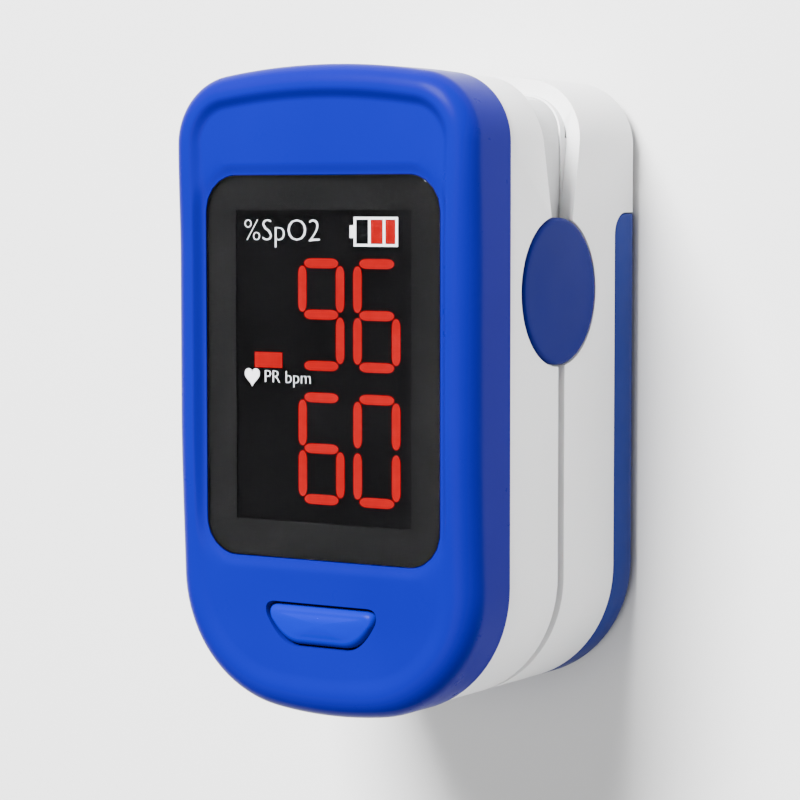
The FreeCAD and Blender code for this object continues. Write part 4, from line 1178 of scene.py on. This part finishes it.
@made_once("solder_mask")
def solder_mask(recipe):
    traces = recipe.node(
        "TexBrick",
        Scale=260.0,
        Mortar_Size=0.045,
        Color1=(0.010, 0.10, 0.045, 1),
        Color2=(0.012, 0.13, 0.055, 1),
        Mortar=(0.035, 0.22, 0.09, 1),
    )
    recipe.links.new(recipe.place, traces.inputs["Vector"])
    recipe.feed("Base Color", traces.outputs["Color"])
    recipe.gloss(recipe.noise(2600.0), 0.28, 0.42)
    recipe.bump(traces.outputs["Fac"], 0.02 * MM)


@made_once("package_black")
def package_black(recipe):
    moulded(recipe, (0.022, 0.022, 0.024), (0.45, 0.6), 0.01 * MM, 0.12)


@made_once("ceramic_tan")
def ceramic_tan(recipe):
    moulded(recipe, (0.36, 0.25, 0.15), (0.4, 0.55), 0.008 * MM, 0.15, 4000.0)


@made_once("resin_amber")
def resin_amber(recipe):
    moulded(recipe, (0.78, 0.62, 0.36), (0.12, 0.2), 0.004 * MM, 0.08, 1500.0)
    recipe.set(Transmission_Weight=0.4, IOR=1.52)


@made_once("polyimide")
def polyimide(recipe):
    lanes = recipe.node("TexWave", Scale=420.0, Distortion=0.0)
    lanes.bands_direction = "X"
    recipe.links.new(recipe.place, lanes.inputs["Vector"])
    recipe.tint(lanes.outputs["Fac"], (0.40, 0.17, 0.03), (0.62, 0.34, 0.09), (0.42, 0.58))
    recipe.gloss(recipe.noise(2000.0), 0.22, 0.34)
    recipe.bump(lanes.outputs["Fac"], 0.01 * MM)


@made_once("window_tinted")
def window_tinted(recipe):
    recipe.tint(recipe.noise(500.0), (0.62, 0.16, 0.16), (0.72, 0.22, 0.20))
    recipe.gloss(recipe.noise(900.0), 0.05, 0.12)
    recipe.set(Transmission_Weight=0.75, IOR=1.49)


@made_once("battery_wrap")
def battery_wrap(recipe):
    """Dark printed wrap with bare steel ends."""
    split = recipe.node("SeparateXYZ")
    recipe.links.new(recipe.place, split.inputs["Vector"])
    low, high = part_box("battery_left")
    band = recipe.node("MapRange", From_Min=low.y, From_Max=high.y)
    recipe.links.new(split.outputs["Y"], band.inputs["Value"])
    bare, wrap, stripe = (0.58, 0.57, 0.55), (0.015, 0.017, 0.022), (0.50, 0.30, 0.06)
    stops = [(0.0, bare), (0.022, wrap), (0.72, wrap), (0.725, stripe), (0.955, stripe), (0.96, bare)]
    recipe.feed("Base Color", recipe.ramp(band.outputs["Result"], stops, "CONSTANT"))
    recipe.gloss(recipe.noise(1200.0, 4.0), 0.2, 0.34)
    recipe.set(Metallic=0.35)


@made_once("studio_floor")
def floor_material(recipe):
    recipe.tint(recipe.noise(6.0, 3.0), (0.73, 0.73, 0.73), (0.76, 0.76, 0.76))
    recipe.set(Roughness=0.9)


def node_finishes():
    """Material of every CAD node that shows as it is."""
    return {
        mask_print: ["lens_mask"],
        display_glass: ["display_module"],
        shaded_bed_plastic: ["display_holder"],
        package_black: [
            "switch_plunger",
            "tact_switch",
            "processor_chip",
            "driver_chip",
            "sounder",
            "light_sensor",
        ],
        solder_mask: ["main_board", "emitter_board", "sensor_board"],
        part_steel: [
            "crystal",
            "upper_screws",
            "lower_screws",
            "hinge_pin_right",
            "hinge_pin_left",
            "spring_anchor_right",
            "spring_anchor_left",
        ],
        ceramic_tan: ["capacitors", "flex_connector"],
        resin_amber: ["emitter"],
        nickel: ["emitter_leads", "positive_contact", "bridge_contact"],
        polyimide: ["upper_flex", "lower_flex"],
        window_tinted: ["emitter_window", "sensor_window"],
    }


class OXIMETER_OT_finishes(bpy.types.Operator):
    """Procedural finishes for the pieces that keep their CAD shape"""

    bl_idname = "oximeter.finishes"
    bl_label = "Finishes"

    def execute(self, context):
        for make, names in node_finishes().items():
            for name in names:
                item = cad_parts[name]
                if not item.material_slots:
                    item.data.materials.append(make())
                for place in item.material_slots:
                    place.material = make()
        return {"FINISHED"}


# ---------------------------------------------------------------- stage
CAMERA_PLACE = Vector((140.725, 16.881, 238.739)) * MM
CAMERA_YAW = math.radians(32.467)
CAMERA_PITCH = math.radians(3.971)
CAMERA_ROLL = math.radians(-0.02)
CAMERA_LENS = 127.0
SENSOR_WIDTH = 36.0


def camera():
    data = bpy.data.cameras.new("camera")
    data.lens = CAMERA_LENS
    data.sensor_width = SENSOR_WIDTH
    data.clip_start = 0.01
    data.clip_end = 20.0
    item = bpy.data.objects.new("camera", data)
    bpy.context.scene.collection.objects.link(item)
    flat = math.cos(CAMERA_PITCH)
    ahead = Vector((-math.sin(CAMERA_YAW) * flat, -math.sin(CAMERA_PITCH), -math.cos(CAMERA_YAW) * flat))
    right = ahead.cross(Vector((0, 1, 0))).normalized()
    up = right.cross(ahead)
    turned_right = right * math.cos(CAMERA_ROLL) + up * math.sin(CAMERA_ROLL)
    turned_up = up * math.cos(CAMERA_ROLL) - right * math.sin(CAMERA_ROLL)
    basis = Matrix((turned_right, turned_up, -ahead)).transposed()
    item.matrix_world = Matrix.Translation(CAMERA_PLACE) @ basis.to_4x4()
    bpy.context.scene.camera = item


def area_light(name, place, target, size, power):
    data = bpy.data.lights.new(name, "AREA")
    data.shape = "RECTANGLE"
    data.size, data.size_y = size
    data.energy = power
    item = bpy.data.objects.new(name, data)
    bpy.context.scene.collection.objects.link(item)
    way = (Vector(target) - Vector(place)).to_track_quat("-Z", "Y")
    item.matrix_world = Matrix.Translation(place) @ way.to_matrix().to_4x4()


class OXIMETER_OT_stage(bpy.types.Operator):
    """Pale floor, soft studio lights and the camera"""

    bl_idname = "oximeter.stage"
    bl_label = "Stage"

    def execute(self, context):
        camera()
        reach = 3.0
        corners = [(x, y, 0) for x, y in rectangle(-reach, reach, -reach, reach)]
        floor = mesh_object("floor", corners, [(0, 1, 2, 3)])
        floor.data.materials.append(floor_material())
        world = bpy.data.worlds.new("studio")
        world.use_nodes = True
        back = world.node_tree.nodes["Background"]
        back.inputs["Color"].default_value = (1.0, 1.0, 1.0, 1.0)
        back.inputs["Strength"].default_value = 0.22
        bpy.context.scene.world = world
        area_light("key_light", (-0.12, 0.58, 0.72), (0, 0, 0.02), (0.40, 0.40), 49.0)
        area_light("front_fill", (0.10, -0.22, 0.90), (0, 0, 0.02), (0.6, 0.6), 5.0)
        return {"FINISHED"}


# ---------------------------------------------------------------- panel and main
OPERATORS = [
    OXIMETER_OT_front_cover,
    OXIMETER_OT_power_button,
    OXIMETER_OT_lens,
    OXIMETER_OT_digits,
    OXIMETER_OT_symbols,
    OXIMETER_OT_shells,
    OXIMETER_OT_hinge_caps,
    OXIMETER_OT_pads,
    OXIMETER_OT_clip_springs,
    OXIMETER_OT_contacts,
    OXIMETER_OT_batteries,
    OXIMETER_OT_finishes,
    OXIMETER_OT_stage,
]


class OXIMETER_PT_panel(bpy.types.Panel):
    bl_idname = "OXIMETER_PT_panel"
    bl_label = "Pulse Oximeter"
    bl_space_type = "VIEW_3D"
    bl_region_type = "UI"
    bl_category = "Oximeter"

    def draw(self, context):
        column = self.layout.column()
        for group in (context.scene.oximeter_sizes, context.scene.oximeter_colours):
            for name in group.bl_rna.properties.keys():
                if name not in ("rna_type", "name"):
                    column.prop(group, name)
        for operator in OPERATORS:
            column.operator(operator.bl_idname)


CLASSES = [OximeterSizes, OximeterColours, *OPERATORS, OXIMETER_PT_panel]


def register():
    for item in CLASSES:
        bpy.utils.register_class(item)
    bpy.types.Scene.oximeter_sizes = PointerProperty(type=OximeterSizes)
    bpy.types.Scene.oximeter_colours = PointerProperty(type=OximeterColours)


def unregister():
    del bpy.types.Scene.oximeter_colours
    del bpy.types.Scene.oximeter_sizes
    for item in reversed(CLASSES):
        bpy.utils.unregister_class(item)


def main():
    register()
    for operator in OPERATORS:
        group, name = operator.bl_idname.split(".")
        getattr(getattr(bpy.ops, group), name)()


if __name__ == "__main__":
    main()
